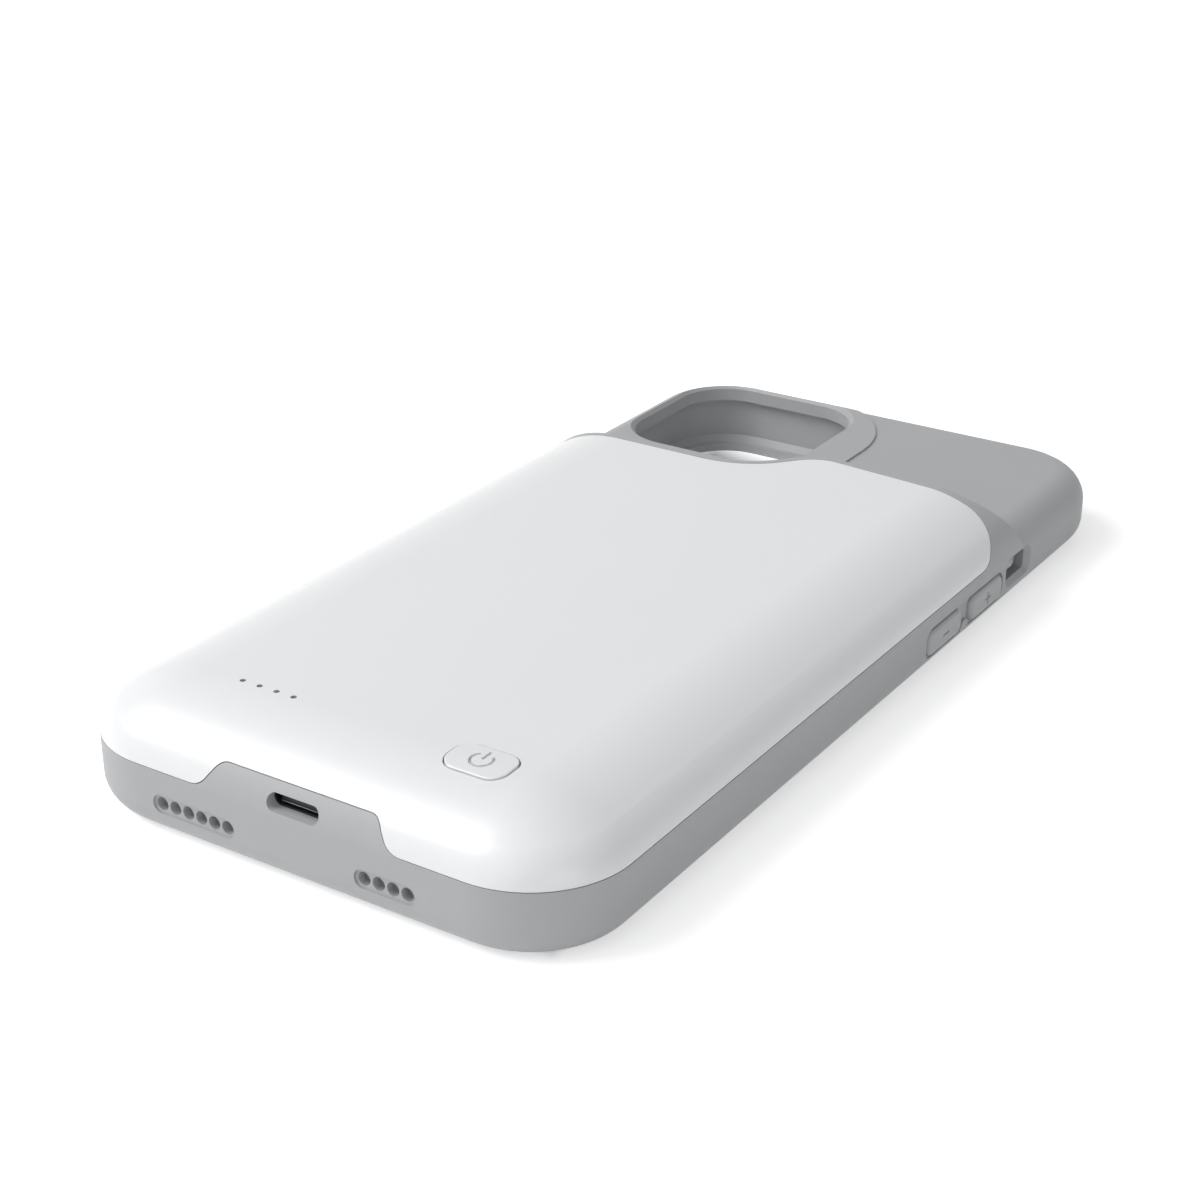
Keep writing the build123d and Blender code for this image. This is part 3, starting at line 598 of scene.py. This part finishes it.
def level_shading(piece: bpy.types.Object) -> None:
    """Keeps flat faces evenly shaded next to rounded edges.

    Args:
        piece: The piece that gets the modifier.
    """
    weigh = piece.modifiers.new("level_shading", "WEIGHTED_NORMAL")
    weigh.mode = "FACE_AREA"
    weigh.weight = FLAT_FACE_WEIGHT
    weigh.keep_sharp = True


def block(shape: Shape, low: Vector, high: Vector) -> None:
    """Adds a box between two corners to a shape.

    Args:
        shape: The shape to add to.
        low: Lowest corner.
        high: Highest corner.
    """
    place = Matrix.Translation((low + high) / 2) @ Matrix.Diagonal((*(high - low), 1.0))
    bmesh.ops.create_cube(shape, size=1.0, matrix=place)


def rod(shape: Shape, width: float, length: float, place: Matrix) -> None:
    """Adds a round rod to a shape.

    Args:
        shape: The shape to add to.
        width: Diameter of the rod.
        length: Length of the rod.
        place: Turns the rod, which stands along Z, and moves its middle.
    """
    bmesh.ops.create_cone(
        shape,
        cap_ends=True,
        segments=ROD_FACETS,
        radius1=width / 2,
        radius2=width / 2,
        depth=length,
        matrix=place,
    )


def edges_along(shape: Shape, axis: Axis) -> list[Edge]:
    """Finds the edges of a shape that lead from one level of an axis to another.

    Args:
        shape: The shape.
        axis: The axis.

    Returns:
        The edges.
    """
    found = []
    for edge in shape.edges:
        first, second = (vert.co[axis.value] for vert in edge.verts)
        if abs(first - second) > APART:
            found.append(edge)
    return found


def edges_at(shape: Shape, axis: Axis, level: float) -> list[Edge]:
    """Finds the edges of a shape that lie at one level of an axis.

    Args:
        shape: The shape.
        axis: The axis.
        level: The level.

    Returns:
        The edges.
    """
    found = []
    for edge in shape.edges:
        if all(abs(vert.co[axis.value] - level) < TOUCH for vert in edge.verts):
            found.append(edge)
    return found


def soften(shape: Shape, edges: list[Edge], radius: float, segments: int) -> None:
    """Rounds edges of a shape.

    Args:
        shape: The shape.
        edges: The edges to round.
        radius: Radius of the rounding.
        segments: Faces across the rounding.
    """
    bmesh.ops.bevel(
        shape,
        geom=edges,
        offset=radius,
        offset_type="OFFSET",
        affect="EDGES",
        segments=segments,
        profile=ROUND_PROFILE,
        material=-1,
        clamp_overlap=True,
    )


def engrave(piece: bpy.types.Object, cutter: Shape) -> None:
    """Cuts a sign into a piece and takes the cutter away again.

    Args:
        piece: The piece that is cut.
        cutter: The closed shape to cut with, which is freed.
    """
    tool = piece_from(f"{piece.name}_cutter", cutter)
    cut = piece.modifiers.new("sign", "BOOLEAN")
    cut.operation = "DIFFERENCE"
    cut.solver = "EXACT"
    cut.object = tool
    bpy.context.view_layer.update()
    graph = bpy.context.evaluated_depsgraph_get()
    mesh = bpy.data.meshes.new_from_object(piece.evaluated_get(graph))
    piece.modifiers.clear()
    worn = piece.data
    piece.data = mesh
    mesh.name = piece.name
    smooth(mesh)
    bpy.data.meshes.remove(worn)
    bpy.data.objects.remove(tool)


@dataclass
class SignCutter:
    """Cutting shape of an engraved sign, lying in the XY plane with its top edge towards +Y.

    Attributes:
        sign: Which sign it is.
        size: Length of a bar of the sign, or the ring's diameter along its middle.
        line: Width of the engraved line.
        depth: How far the cutter reaches to each side of the plane.
    """

    sign: Sign
    size: float
    line: float
    depth: float

    RING_GAP = math.radians(78.0)
    RING_STEPS = 40
    STROKE_FOOT = 0.04
    STROKE_TOP = 0.72

    def build(self) -> Shape:
        """Builds the cutter.

        Returns:
            A closed shape round the origin.
        """
        shape = bmesh.new()
        if self.sign is Sign.POWER:
            self._stroke(shape)
            self._ring(shape)
        else:
            self._hub(shape)
        return shape

    def _stroke(self, shape: Shape) -> None:
        """Adds the upright stroke in the gap of the ring.

        Args:
            shape: The shape to add to.
        """
        foot = Vector((-self.line / 2, self.size * self.STROKE_FOOT, -self.depth))
        top = Vector((self.line / 2, self.size * self.STROKE_TOP, self.depth))
        block(shape, foot, top)

    def _hub(self, shape: Shape) -> None:
        """Adds the hub of a plus or minus and draws its arms out of it.

        Args:
            shape: The shape to add to.
        """
        half = Vector((self.line / 2, self.line / 2, self.depth))
        block(shape, -half, half)
        shape.normal_update()
        arm = (self.size - self.line) / 2
        sides = [face for face in shape.faces if abs(face.normal.x) > FACING]
        if self.sign is Sign.PLUS:
            sides += [face for face in shape.faces if abs(face.normal.y) > FACING]
        for side in sides:
            way = side.normal.copy()
            drawn = bmesh.ops.extrude_discrete_faces(shape, faces=[side])["faces"][0]
            bmesh.ops.translate(shape, verts=drawn.verts[:], vec=way * arm)

    def _ring(self, shape: Shape) -> None:
        """Adds a ring with a gap at its top.

        Args:
            shape: The shape to add to.
        """
        start = math.pi / 2 + self.RING_GAP / 2
        middle, half = self.size / 2, self.line / 2
        corners = ((-1, -1), (1, -1), (1, 1), (-1, 1))
        verts = [shape.verts.new((middle + x * half, 0.0, z * self.depth)) for x, z in corners]
        bmesh.ops.rotate(shape, verts=verts, cent=(0, 0, 0), matrix=Matrix.Rotation(start, 3, "Z"))
        loop = [shape.edges.new((verts[i], verts[(i + 1) % 4])) for i in range(4)]
        bmesh.ops.spin(
            shape,
            geom=verts + loop,
            cent=(0, 0, 0),
            axis=(0, 0, 1),
            angle=2 * math.pi - self.RING_GAP,
            steps=self.RING_STEPS,
            use_merge=False,
            use_duplicate=False,
        )
        ends = [edge for edge in shape.edges if edge.is_boundary]
        bmesh.ops.holes_fill(shape, edges=ends, sides=4)


@dataclass
class SideKey:
    """Key in a long side of the case: a round-edged cap on a flange, with an engraved sign.

    Attributes:
        node: Node of the frame that the key stands for.
        body: Body that it moves with.
        side: Long side that it sits in.
        sign: Engraved sign, if it has one.
        flange: How far the flange stands out round the cap.
        flange_thick: Thickness of the flange.
        corner: Corner radius of the cap.
        edge: Radius of the cap's outer edge.
        sign_size: Length of the sign's bars.
        sign_line: Width of the engraved line.
        sign_depth: Depth of the engraving.
    """

    node: str
    body: str
    side: Side
    sign: Sign | None = None
    flange: float = 0.54 * MM
    flange_thick: float = 0.67 * MM
    corner: float = 1.56 * MM
    edge: float = 0.8 * MM
    sign_size: float = 1.95 * MM
    sign_line: float = 0.3 * MM
    sign_depth: float = 0.16 * MM

    CORNER_STEPS = 10
    EDGE_STEPS = 6

    def build(self, wardrobe: Wardrobe) -> bpy.types.Object:
        """Builds the key, dresses it and puts it on its body.

        Args:
            wardrobe: The finishes.

        Returns:
            The finished piece.
        """
        piece = piece_from(f"{self.node}_cap", self._cap())
        if self.sign is not None:
            engrave(piece, self._sign_cutter())
        level_shading(piece)
        wardrobe.dress_piece(piece, "key_grey")
        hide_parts(self.node)
        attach(piece, self.body)
        return piece

    def _outer_x(self) -> float:
        """X of the key's outer face."""
        low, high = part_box(self.node)
        return high.x if self.side is Side.RIGHT else low.x

    def _cap(self) -> Shape:
        """Builds flange and cap as one closed shape.

        Returns:
            The shape, in its place.
        """
        low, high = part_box(self.node)
        out = self.side.value
        inner_x = low.x if self.side is Side.RIGHT else high.x
        seat_x = inner_x + out * self.flange_thick
        shape = bmesh.new()
        xs = sorted((inner_x, seat_x))
        block(shape, Vector((xs[0], low.y, low.z)), Vector((xs[1], high.y, high.z)))
        seat = next(face for face in shape.faces if face.normal.x * out > FACING)
        bmesh.ops.inset_region(shape, faces=[seat], thickness=self.flange, use_even_offset=True)
        rise = Vector((self._outer_x() - seat_x, 0.0, 0.0))
        grown = bmesh.ops.extrude_face_region(shape, geom=[seat])["geom"]
        bmesh.ops.delete(shape, geom=[seat], context="FACES")
        top = [item for item in grown if isinstance(item, bmesh.types.BMVert)]
        bmesh.ops.translate(shape, verts=top, vec=rise)
        walls = [edge for edge in shape.edges if self._is_cap_wall(edge, seat_x)]
        soften(shape, walls, self.corner, self.CORNER_STEPS)
        brow = [edge for edge in edges_at(shape, Axis.X, self._outer_x()) if not self._is_inside(edge)]
        soften(shape, brow, self.edge, self.EDGE_STEPS)
        return shape

    @staticmethod
    def _is_cap_wall(edge: Edge, seat_x: float) -> bool:
        """Says whether an edge runs up a corner of the cap.

        Args:
            edge: The edge.
            seat_x: X of the flange's outer face.

        Returns:
            True for the four corners of the cap.
        """
        first, second = (vert.co for vert in edge.verts)
        along = abs(first.x - second.x) > APART and (first - second).yz.length < TOUCH
        return along and max(abs(first.x), abs(second.x)) > abs(seat_x) + APART

    @staticmethod
    def _is_inside(edge: Edge) -> bool:
        """Says whether both faces of an edge lie in one plane."""
        return len(edge.link_faces) == 2 and edge.calc_face_angle() < FLAT_ANGLE

    def _sign_cutter(self) -> Shape:
        """Places the sign's cutter on the outer face, with its top towards +Z.

        Returns:
            The cutter's shape, in its place.
        """
        low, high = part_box(self.node)
        shape = SignCutter(self.sign, self.sign_size, self.sign_line, self.sign_depth).build()
        stand = Matrix.Rotation(math.pi / 2, 4, "X")
        turn = Matrix.Rotation(self.side.value * math.pi / 2, 4, "Z")
        middle = (low + high) / 2
        place = Matrix.Translation((self._outer_x(), middle.y, middle.z))
        bmesh.ops.transform(shape, matrix=place @ turn @ stand, verts=shape.verts[:])
        return shape


@dataclass
class PowerButton:
    """Button of the battery: a round-edged cap that follows the crown of the hump, on a flange with a stem.

    Attributes:
        seat_depth: Depth of the flange's upper face under the top of the hump.
        flange: How far the flange stands out round the cap.
        flange_thick: Thickness of the flange.
        corner: Corner radius of the cap.
        edge: Radius of the cap's upper edge.
        crown_in: Distance from the chin at which the hump starts to fall.
        crown_round: Radius of that fall.
        cut_step: Spacing of the cuts that let the cap follow the crown.
        stem: Diameter of the stem.
        sign_size: Diameter of the engraved ring.
        sign_line: Width of the engraved line.
        sign_depth: Depth of the engraving.
    """

    seat_depth: float = 1.95 * MM
    flange: float = 0.8 * MM
    flange_thick: float = 0.6 * MM
    corner: float = 2.2 * MM
    edge: float = 0.18 * MM
    crown_in: float = 13.45 * MM
    crown_round: float = 19.71 * MM
    cut_step: float = 0.4 * MM
    stem: float = 2.2 * MM
    sign_size: float = 2.8 * MM
    sign_line: float = 0.37 * MM
    sign_depth: float = 0.45 * MM

    NODE = "power_button"
    CORNER_STEPS = 12
    EDGE_STEPS = 6

    def __post_init__(self) -> None:
        """Finds where the hump starts to fall towards the chin."""
        self.crown_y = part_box("bumper_frame")[0].y + self.crown_in

    def build(self, wardrobe: Wardrobe) -> bpy.types.Object:
        """Builds the button, dresses it and puts it on its body.

        Args:
            wardrobe: The finishes.

        Returns:
            The finished piece.
        """
        piece = piece_from(f"{self.NODE}_cap", self._cap())
        engrave(piece, self._sign_cutter())
        level_shading(piece)
        wardrobe.dress_piece(piece, "button_white")
        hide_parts(self.NODE)
        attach(piece, "power_button")
        return piece

    def _drop(self, y: float) -> float:
        """Fall of the crown at a place along the case.

        Args:
            y: Place along the case.

        Returns:
            How far the crown lies below the flat top.
        """
        past = max(0.0, self.crown_y - y)
        return self.crown_round - math.sqrt(self.crown_round**2 - past**2)

    def _cap(self) -> Shape:
        """Builds stem, flange and cap.

        Returns:
            The shape, in its place.
        """
        low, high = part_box(self.NODE)
        seat_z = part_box("battery_cover")[1].z - self.seat_depth
        rim = Vector((self.flange, self.flange, 0.0))
        shape = bmesh.new()
        cap_low = Vector((low.x, low.y, seat_z)) + rim
        cap_high = Vector((high.x, high.y, high.z)) - rim
        block(shape, cap_low, cap_high)
        soften(shape, edges_along(shape, Axis.Z), self.corner, self.CORNER_STEPS)
        soften(shape, edges_at(shape, Axis.Z, high.z), self.edge, self.EDGE_STEPS)
        self._follow_crown(shape, seat_z)
        block(shape, Vector((low.x, low.y, seat_z - self.flange_thick)), Vector((high.x, high.y, seat_z)))
        stem_long = seat_z - self.flange_thick - low.z
        middle = (low + high) / 2
        place = Matrix.Translation((middle.x, middle.y, low.z + stem_long / 2))
        rod(shape, self.stem, stem_long, place)
        return shape

    def _follow_crown(self, shape: Shape, seat_z: float) -> None:
        """Cuts the cap across and lets its upper part fall with the crown.

        Args:
            shape: The cap.
            seat_z: Height of the cap's foot.
        """
        low_y = min(vert.co.y for vert in shape.verts)
        for step in range(int((self.crown_y - low_y) / self.cut_step) + 1):
            bmesh.ops.bisect_plane(
                shape,
                geom=shape.verts[:] + shape.edges[:] + shape.faces[:],
                dist=CUT_CLOSE,
                plane_co=(0.0, self.crown_y - step * self.cut_step, 0.0),
                plane_no=(0.0, 1.0, 0.0),
            )
        for vert in shape.verts:
            if vert.co.z > seat_z + TOUCH:
                vert.co.z -= self._drop(vert.co.y)

    def _sign_cutter(self) -> Shape:
        """Places the sign's cutter on the cap, with its top towards the camera end.

        Returns:
            The cutter's shape, in its place.
        """
        low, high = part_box(self.NODE)
        shape = SignCutter(Sign.POWER, self.sign_size, self.sign_line, self.sign_depth).build()
        middle = (low + high) / 2
        bmesh.ops.translate(shape, verts=shape.verts[:], vec=(middle.x, middle.y, high.z))
        for vert in shape.verts:
            vert.co.z -= self._drop(vert.co.y)
        return shape


@dataclass
class PortMouth:
    """Front of the charging port inside the chin's slot: a dark collar, the blade's tip and its strip.

    Attributes:
        width: Width of the slot.
        height: Height of the slot.
        play: Gap between collar and slot.
        wall: Wall of the collar.
        reach: How far the collar stands out of the port.
        tip_width: Width of the blade.
        tip_thick: Thickness of the blade.
        tip_back: How far the blade's tip stays behind the collar's front.
        edge: Radius of the blade's edges.
        strip: Thickness of the steel strip under the blade.
    """

    width: float = 7.8 * MM
    height: float = 2.2 * MM
    play: float = 0.02 * MM
    wall: float = 0.25 * MM
    reach: float = 0.7 * MM
    tip_width: float = 5.8 * MM
    tip_thick: float = 0.7 * MM
    tip_back: float = 0.15 * MM
    edge: float = 0.12 * MM
    strip: float = 0.1 * MM

    # Just less than half the height, so that the two roundings of an end don't meet
    BOW_SHARE = 0.999
    BOW_STEPS = 12
    EDGE_STEPS = 3

    def build(self, wardrobe: Wardrobe) -> list[bpy.types.Object]:
        """Builds collar, tip and strip, dresses them and puts them on the case.

        Args:
            wardrobe: The finishes.

        Returns:
            The finished pieces.
        """
        return [
            case_piece("port_mouth_collar", self._collar(), "black_plastic", wardrobe),
            case_piece("port_mouth_tip", self._tip(), "black_plastic", wardrobe),
            case_piece("port_mouth_strip", self._strip(), "connector_steel", wardrobe),
        ]

    @staticmethod
    def _seat() -> Vector:
        """Middle of the port's front."""
        low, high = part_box("port_shell")
        return Vector(((low.x + high.x) / 2, low.y, (low.z + high.z) / 2))

    def _collar(self) -> Shape:
        """Builds the collar, a short tube with round ends.

        Returns:
            The shape, in its place.
        """
        seat = self._seat()
        half = Vector((self.width / 2 - self.play, 0.0, self.height / 2 - self.play))
        shape = bmesh.new()
        block(shape, seat - half - Vector((0.0, self.reach, 0.0)), seat + half)
        soften(shape, edges_along(shape, Axis.Y), half.z * self.BOW_SHARE, self.BOW_STEPS)
        ends = [face for face in shape.faces if abs(face.normal.y) > FACING]
        bmesh.ops.delete(shape, geom=ends, context="FACES_ONLY")
        bmesh.ops.solidify(shape, geom=shape.faces[:], thickness=self.wall)
        return shape

    def _tip(self) -> Shape:
        """Builds the blade's tip.

        Returns:
            The shape, in its place.
        """
        shape = self._slab(0.0, self.tip_thick)
        soften(shape, shape.edges[:], self.edge, self.EDGE_STEPS)
        return shape

    def _strip(self) -> Shape:
        """Builds the steel strip that lies under the blade's tip."""
        return self._slab((self.tip_thick + self.strip) / 2, self.strip)

    def _slab(self, drop: float, thick: float) -> Shape:
        """Builds a slab as wide as the tip, from the port's blade to the tip's front.

        Args:
            drop: How far its middle lies below the middle of the port.
            thick: Its thickness.

        Returns:
            The shape, in its place.
        """
        seat = self._seat() - Vector((0.0, 0.0, drop))
        half = Vector((self.tip_width / 2, 0.0, thick / 2))
        front = Vector((0.0, self.reach - self.tip_back, 0.0))
        back = Vector((0.0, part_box("port_blade")[0].y - seat.y, 0.0))
        shape = bmesh.new()
        block(shape, seat - half - front, seat + half + back)
        return shape


@dataclass
class SoundScreens:
    """Dust screens in the chin's two rows of sound holes, one disc to a hole.

    Attributes:
        depth: Distance of the screens from the chin's face.
        thick: Thickness of a screen.
        width: Diameter of a screen.
        level: Height of the rows above the floor.
        first: Distance of each row's first hole from the middle of the chin.
        pitch: Spacing of the holes in a row.
    """

    depth: float = 1.5 * MM
    thick: float = 0.18 * MM
    width: float = 1.78 * MM
    level: float = 5.025 * MM
    first: float = 10.35 * MM
    pitch: float = 2.08 * MM

    ROWS = (("left_sound_screens", Side.LEFT, 6), ("right_sound_screens", Side.RIGHT, 4))

    def build(self, wardrobe: Wardrobe) -> list[bpy.types.Object]:
        """Builds the screens of both rows, dresses them and puts them on the case.

        Args:
            wardrobe: The finishes.

        Returns:
            The finished pieces, one to a row.
        """
        rows = [(name, self._row(side, count)) for name, side, count in self.ROWS]
        return [case_piece(name, shape, "plate_grey", wardrobe) for name, shape in rows]

    def _row(self, side: Side, count: int) -> Shape:
        """Builds the screens of one row.

        Args:
            side: Half of the chin that the row sits in.
            count: Number of holes in the row.

        Returns:
            The shape, in its place.
        """
        middle_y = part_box("bumper_frame")[0].y + self.depth + self.thick / 2
        stand = Matrix.Rotation(math.pi / 2, 4, "X")
        shape = bmesh.new()
        for step in range(count):
            x = side.value * (self.first + step * self.pitch)
            rod(shape, self.width, self.thick, Matrix.Translation((x, middle_y, self.level)) @ stand)
        return shape


@dataclass
class Casing:
    """Shells, boards, battery and connectors, which keep the shapes of the frame.

    Attributes:
        skip: Nodes that other pieces stand for.
    """

    skip: tuple[str, ...]

    def dress(self, nodes: dict[str, bpy.types.Object], wardrobe: Wardrobe) -> None:
        """Puts the finishes on every node that shows.

        Args:
            nodes: The frame's nodes by name.
            wardrobe: The finishes.
        """
        for name in sorted(set(nodes) - set(self.skip)):
            wardrobe.dress_node(nodes[name])
            LOG.info("node %s wears %s", name, wardrobe.node_slots[name])


def aim(item: bpy.types.Object, target: Vector, distance: float, azimuth: float, elevation: float) -> None:
    """Stands a lamp or a camera off from a point and turns it to look there.

    Args:
        item: The lamp or camera.
        target: The point.
        distance: Distance from the point.
        azimuth: Degrees round the case, from the chin's side towards the right.
        elevation: Degrees above the floor.
    """
    turn = math.radians(azimuth)
    rise = math.radians(elevation)
    level = math.cos(rise)
    back = Vector((math.sin(turn) * level, -math.cos(turn) * level, math.sin(rise)))
    item.location = target + back * distance
    item.rotation_euler = (-back).to_track_quat("-Z", "Y").to_euler()


@dataclass(frozen=True)
class Softbox:
    """Soft studio lamp that looks at the case.

    Attributes:
        name: Name of the lamp.
        azimuth: Degrees round the case, from the chin's side towards the right.
        elevation: Degrees above the floor.
        distance: Distance from the case.
        size: Width of the lamp.
        power: Power in watts.
    """

    name: str
    azimuth: float
    elevation: float
    distance: float
    size: float
    power: float

    def build(self) -> bpy.types.Object:
        """Makes the lamp.

        Returns:
            The lamp's object.
        """
        data = bpy.data.lights.new(self.name, "AREA")
        data.shape = "DISK"
        data.size = self.size
        data.energy = self.power
        lamp = bpy.data.objects.new(self.name, data)
        aim(lamp, Vector(), self.distance, self.azimuth, self.elevation)
        bpy.context.scene.collection.objects.link(lamp)
        return lamp


@dataclass
class Studio:
    """Floor, surroundings, lamps and the camera at the picture's angle.

    Attributes:
        azimuth: Camera's angle round the case, in degrees.
        elevation: Camera's angle above the floor, in degrees.
        distance: Camera's distance from its target.
        target: Point that the camera looks at.
        lens: Focal length in millimetres on the sensor.
        sensor: Width of the sensor in millimetres.
        near: Distance at which the camera starts to see.
        floor_size: Width of the floor.
        floor_colour: Colour of the floor, linear.
        floor_roughness: Roughness of the floor.
        floor_shine: Strength of the floor's mirroring.
        floor_glow: Light that the floor adds where it is looked at, round the case.
        far_glow: The same light far from the case, where the lamps don't reach.
        far_start: Distance from the case at which the light starts to rise.
        far_end: Distance from the case at which it has risen.
        glow_inset: How far inside the case's outline that light starts to fade.
        glow_fade: Width of the band over which it fades.
        ambient: Strength of the surroundings' light.
        lamps: The soft lamps.
    """

    azimuth: float = 33.12
    elevation: float = 25.08
    distance: float = 0.32342
    target: tuple[float, float, float] = (-0.007055, -0.001982, 0.006)
    lens: float = 67.459
    sensor: float = 36.0
    near: float = 0.01
    floor_size: float = 6.0
    floor_colour: Colour = (0.93, 0.93, 0.93)
    floor_roughness: float = 0.9
    floor_shine: float = 0.1
    floor_glow: float = 0.5
    far_glow: float = 1.0
    far_start: float = 0.2
    far_end: float = 0.8
    glow_inset: float = 4.5 * MM
    glow_fade: float = 4.0 * MM
    ambient: float = 0.28
    lamps: tuple[Softbox, ...] = (
        Softbox("key_softbox", -55.0, 46.0, 0.85, 0.6, 4.15),
        Softbox("front_softbox", -5.0, 24.0, 0.9, 0.95, 1.1),
        Softbox("top_softbox", -25.0, 68.0, 1.0, 0.9, 1.2),
        Softbox("side_softbox", 60.0, 6.0, 0.5, 0.3, 0.32),
    )

    def build(self) -> None:
        """Makes floor, surroundings, lamps and camera."""
        self._floor()
        self._surroundings()
        for lamp in self.lamps:
            LOG.info("lamp %s", lamp.build().name)
        self._camera()
        bpy.context.scene.view_settings.view_transform = "Standard"

    def _floor(self) -> None:
        """Makes the pale floor under the case."""
        shape = bmesh.new()
        bmesh.ops.create_grid(shape, x_segments=1, y_segments=1, size=self.floor_size / 2)
        floor = piece_from("floor", shape)
        material = bpy.data.materials.new("pale_floor")
        material.use_nodes = True
        tree = material.node_tree
        shader = tree.nodes["Principled BSDF"]
        shader.inputs["Base Color"].default_value = (*self.floor_colour, 1.0)
        shader.inputs["Roughness"].default_value = self.floor_roughness
        shader.inputs["Specular IOR Level"].default_value = self.floor_shine
        shader.inputs["Emission Color"].default_value = WHITE
        glow = combine(tree, "MULTIPLY", looked_at(tree), self._glow_level(tree))
        tree.links.new(glow, shader.inputs["Emission Strength"])
        floor.data.materials.append(material)

    def _glow_level(self, tree: bpy.types.NodeTree) -> Socket:
        """Spreads the floor's glow: none in the case's bay, some round it, more far away.

        Args:
            tree: Nodes of the floor's material.

        Returns:
            A socket with the strength of the glow.
        """
        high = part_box("bumper_frame")[1]
        place = tree.nodes.new("ShaderNodeTexCoord")
        split = tree.nodes.new("ShaderNodeSeparateXYZ")
        tree.links.new(place.outputs["Object"], split.inputs["Vector"])
        past = []
        for axis, half in (("X", high.x), ("Y", high.y)):
            along = combine(tree, "ABSOLUTE", split.outputs[axis], 0.0)
            past.append(combine(tree, "SUBTRACT", along, half))
        distance = combine(tree, "MAXIMUM", *past)
        edge = (-self.glow_inset - self.glow_fade, -self.glow_inset)
        shown = ramp(tree, distance, edge, (0.0, 1.0))
        level = ramp(tree, distance, (self.far_start, self.far_end), (self.floor_glow, self.far_glow))
        return combine(tree, "MULTIPLY", shown, level)

    def _surroundings(self) -> None:
        """Makes an even pale light all round, white where it is looked at or mirrored."""
        world = bpy.data.worlds.new("surroundings")
        bpy.context.scene.world = world
        world.use_nodes = True
        tree = world.node_tree
        sky = tree.nodes["Background"]
        sky.inputs["Color"].default_value = WHITE
        level = ramp(tree, looked_at(tree), (0.0, 1.0), (self.ambient, 1.0))
        tree.links.new(level, sky.inputs["Strength"])

    def _camera(self) -> None:
        """Makes the camera at the picture's angle."""
        data = bpy.data.cameras.new("camera")
        data.lens = self.lens
        data.sensor_width = self.sensor
        data.clip_start = self.near
        camera = bpy.data.objects.new("camera", data)
        aim(camera, Vector(self.target), self.distance, self.azimuth, self.elevation)
        bpy.context.scene.collection.objects.link(camera)
        bpy.context.scene.camera = camera


def main() -> None:
    """Loads the frame, builds the pieces in order and sets the stage."""
    logging.basicConfig(level=logging.INFO, format="%(name)s: %(message)s")
    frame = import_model()
    wardrobe = Wardrobe(frame["record"])
    keys = (
        SideKey("volume_up_key", "volume_up", Side.RIGHT, Sign.PLUS),
        SideKey("volume_down_key", "volume_down", Side.RIGHT, Sign.MINUS),
        SideKey("side_key", "side", Side.LEFT),
    )
    button = PowerButton()
    for piece in (*keys, button):
        LOG.info("piece %s", piece.build(wardrobe).name)
    for piece in PortMouth().build(wardrobe) + SoundScreens().build(wardrobe):
        LOG.info("piece %s", piece.name)
    replaced = tuple(key.node for key in keys) + (PowerButton.NODE,)
    Casing(replaced).dress(frame["nodes"], wardrobe)
    Studio().build()


if __name__ == "__main__":
    main()
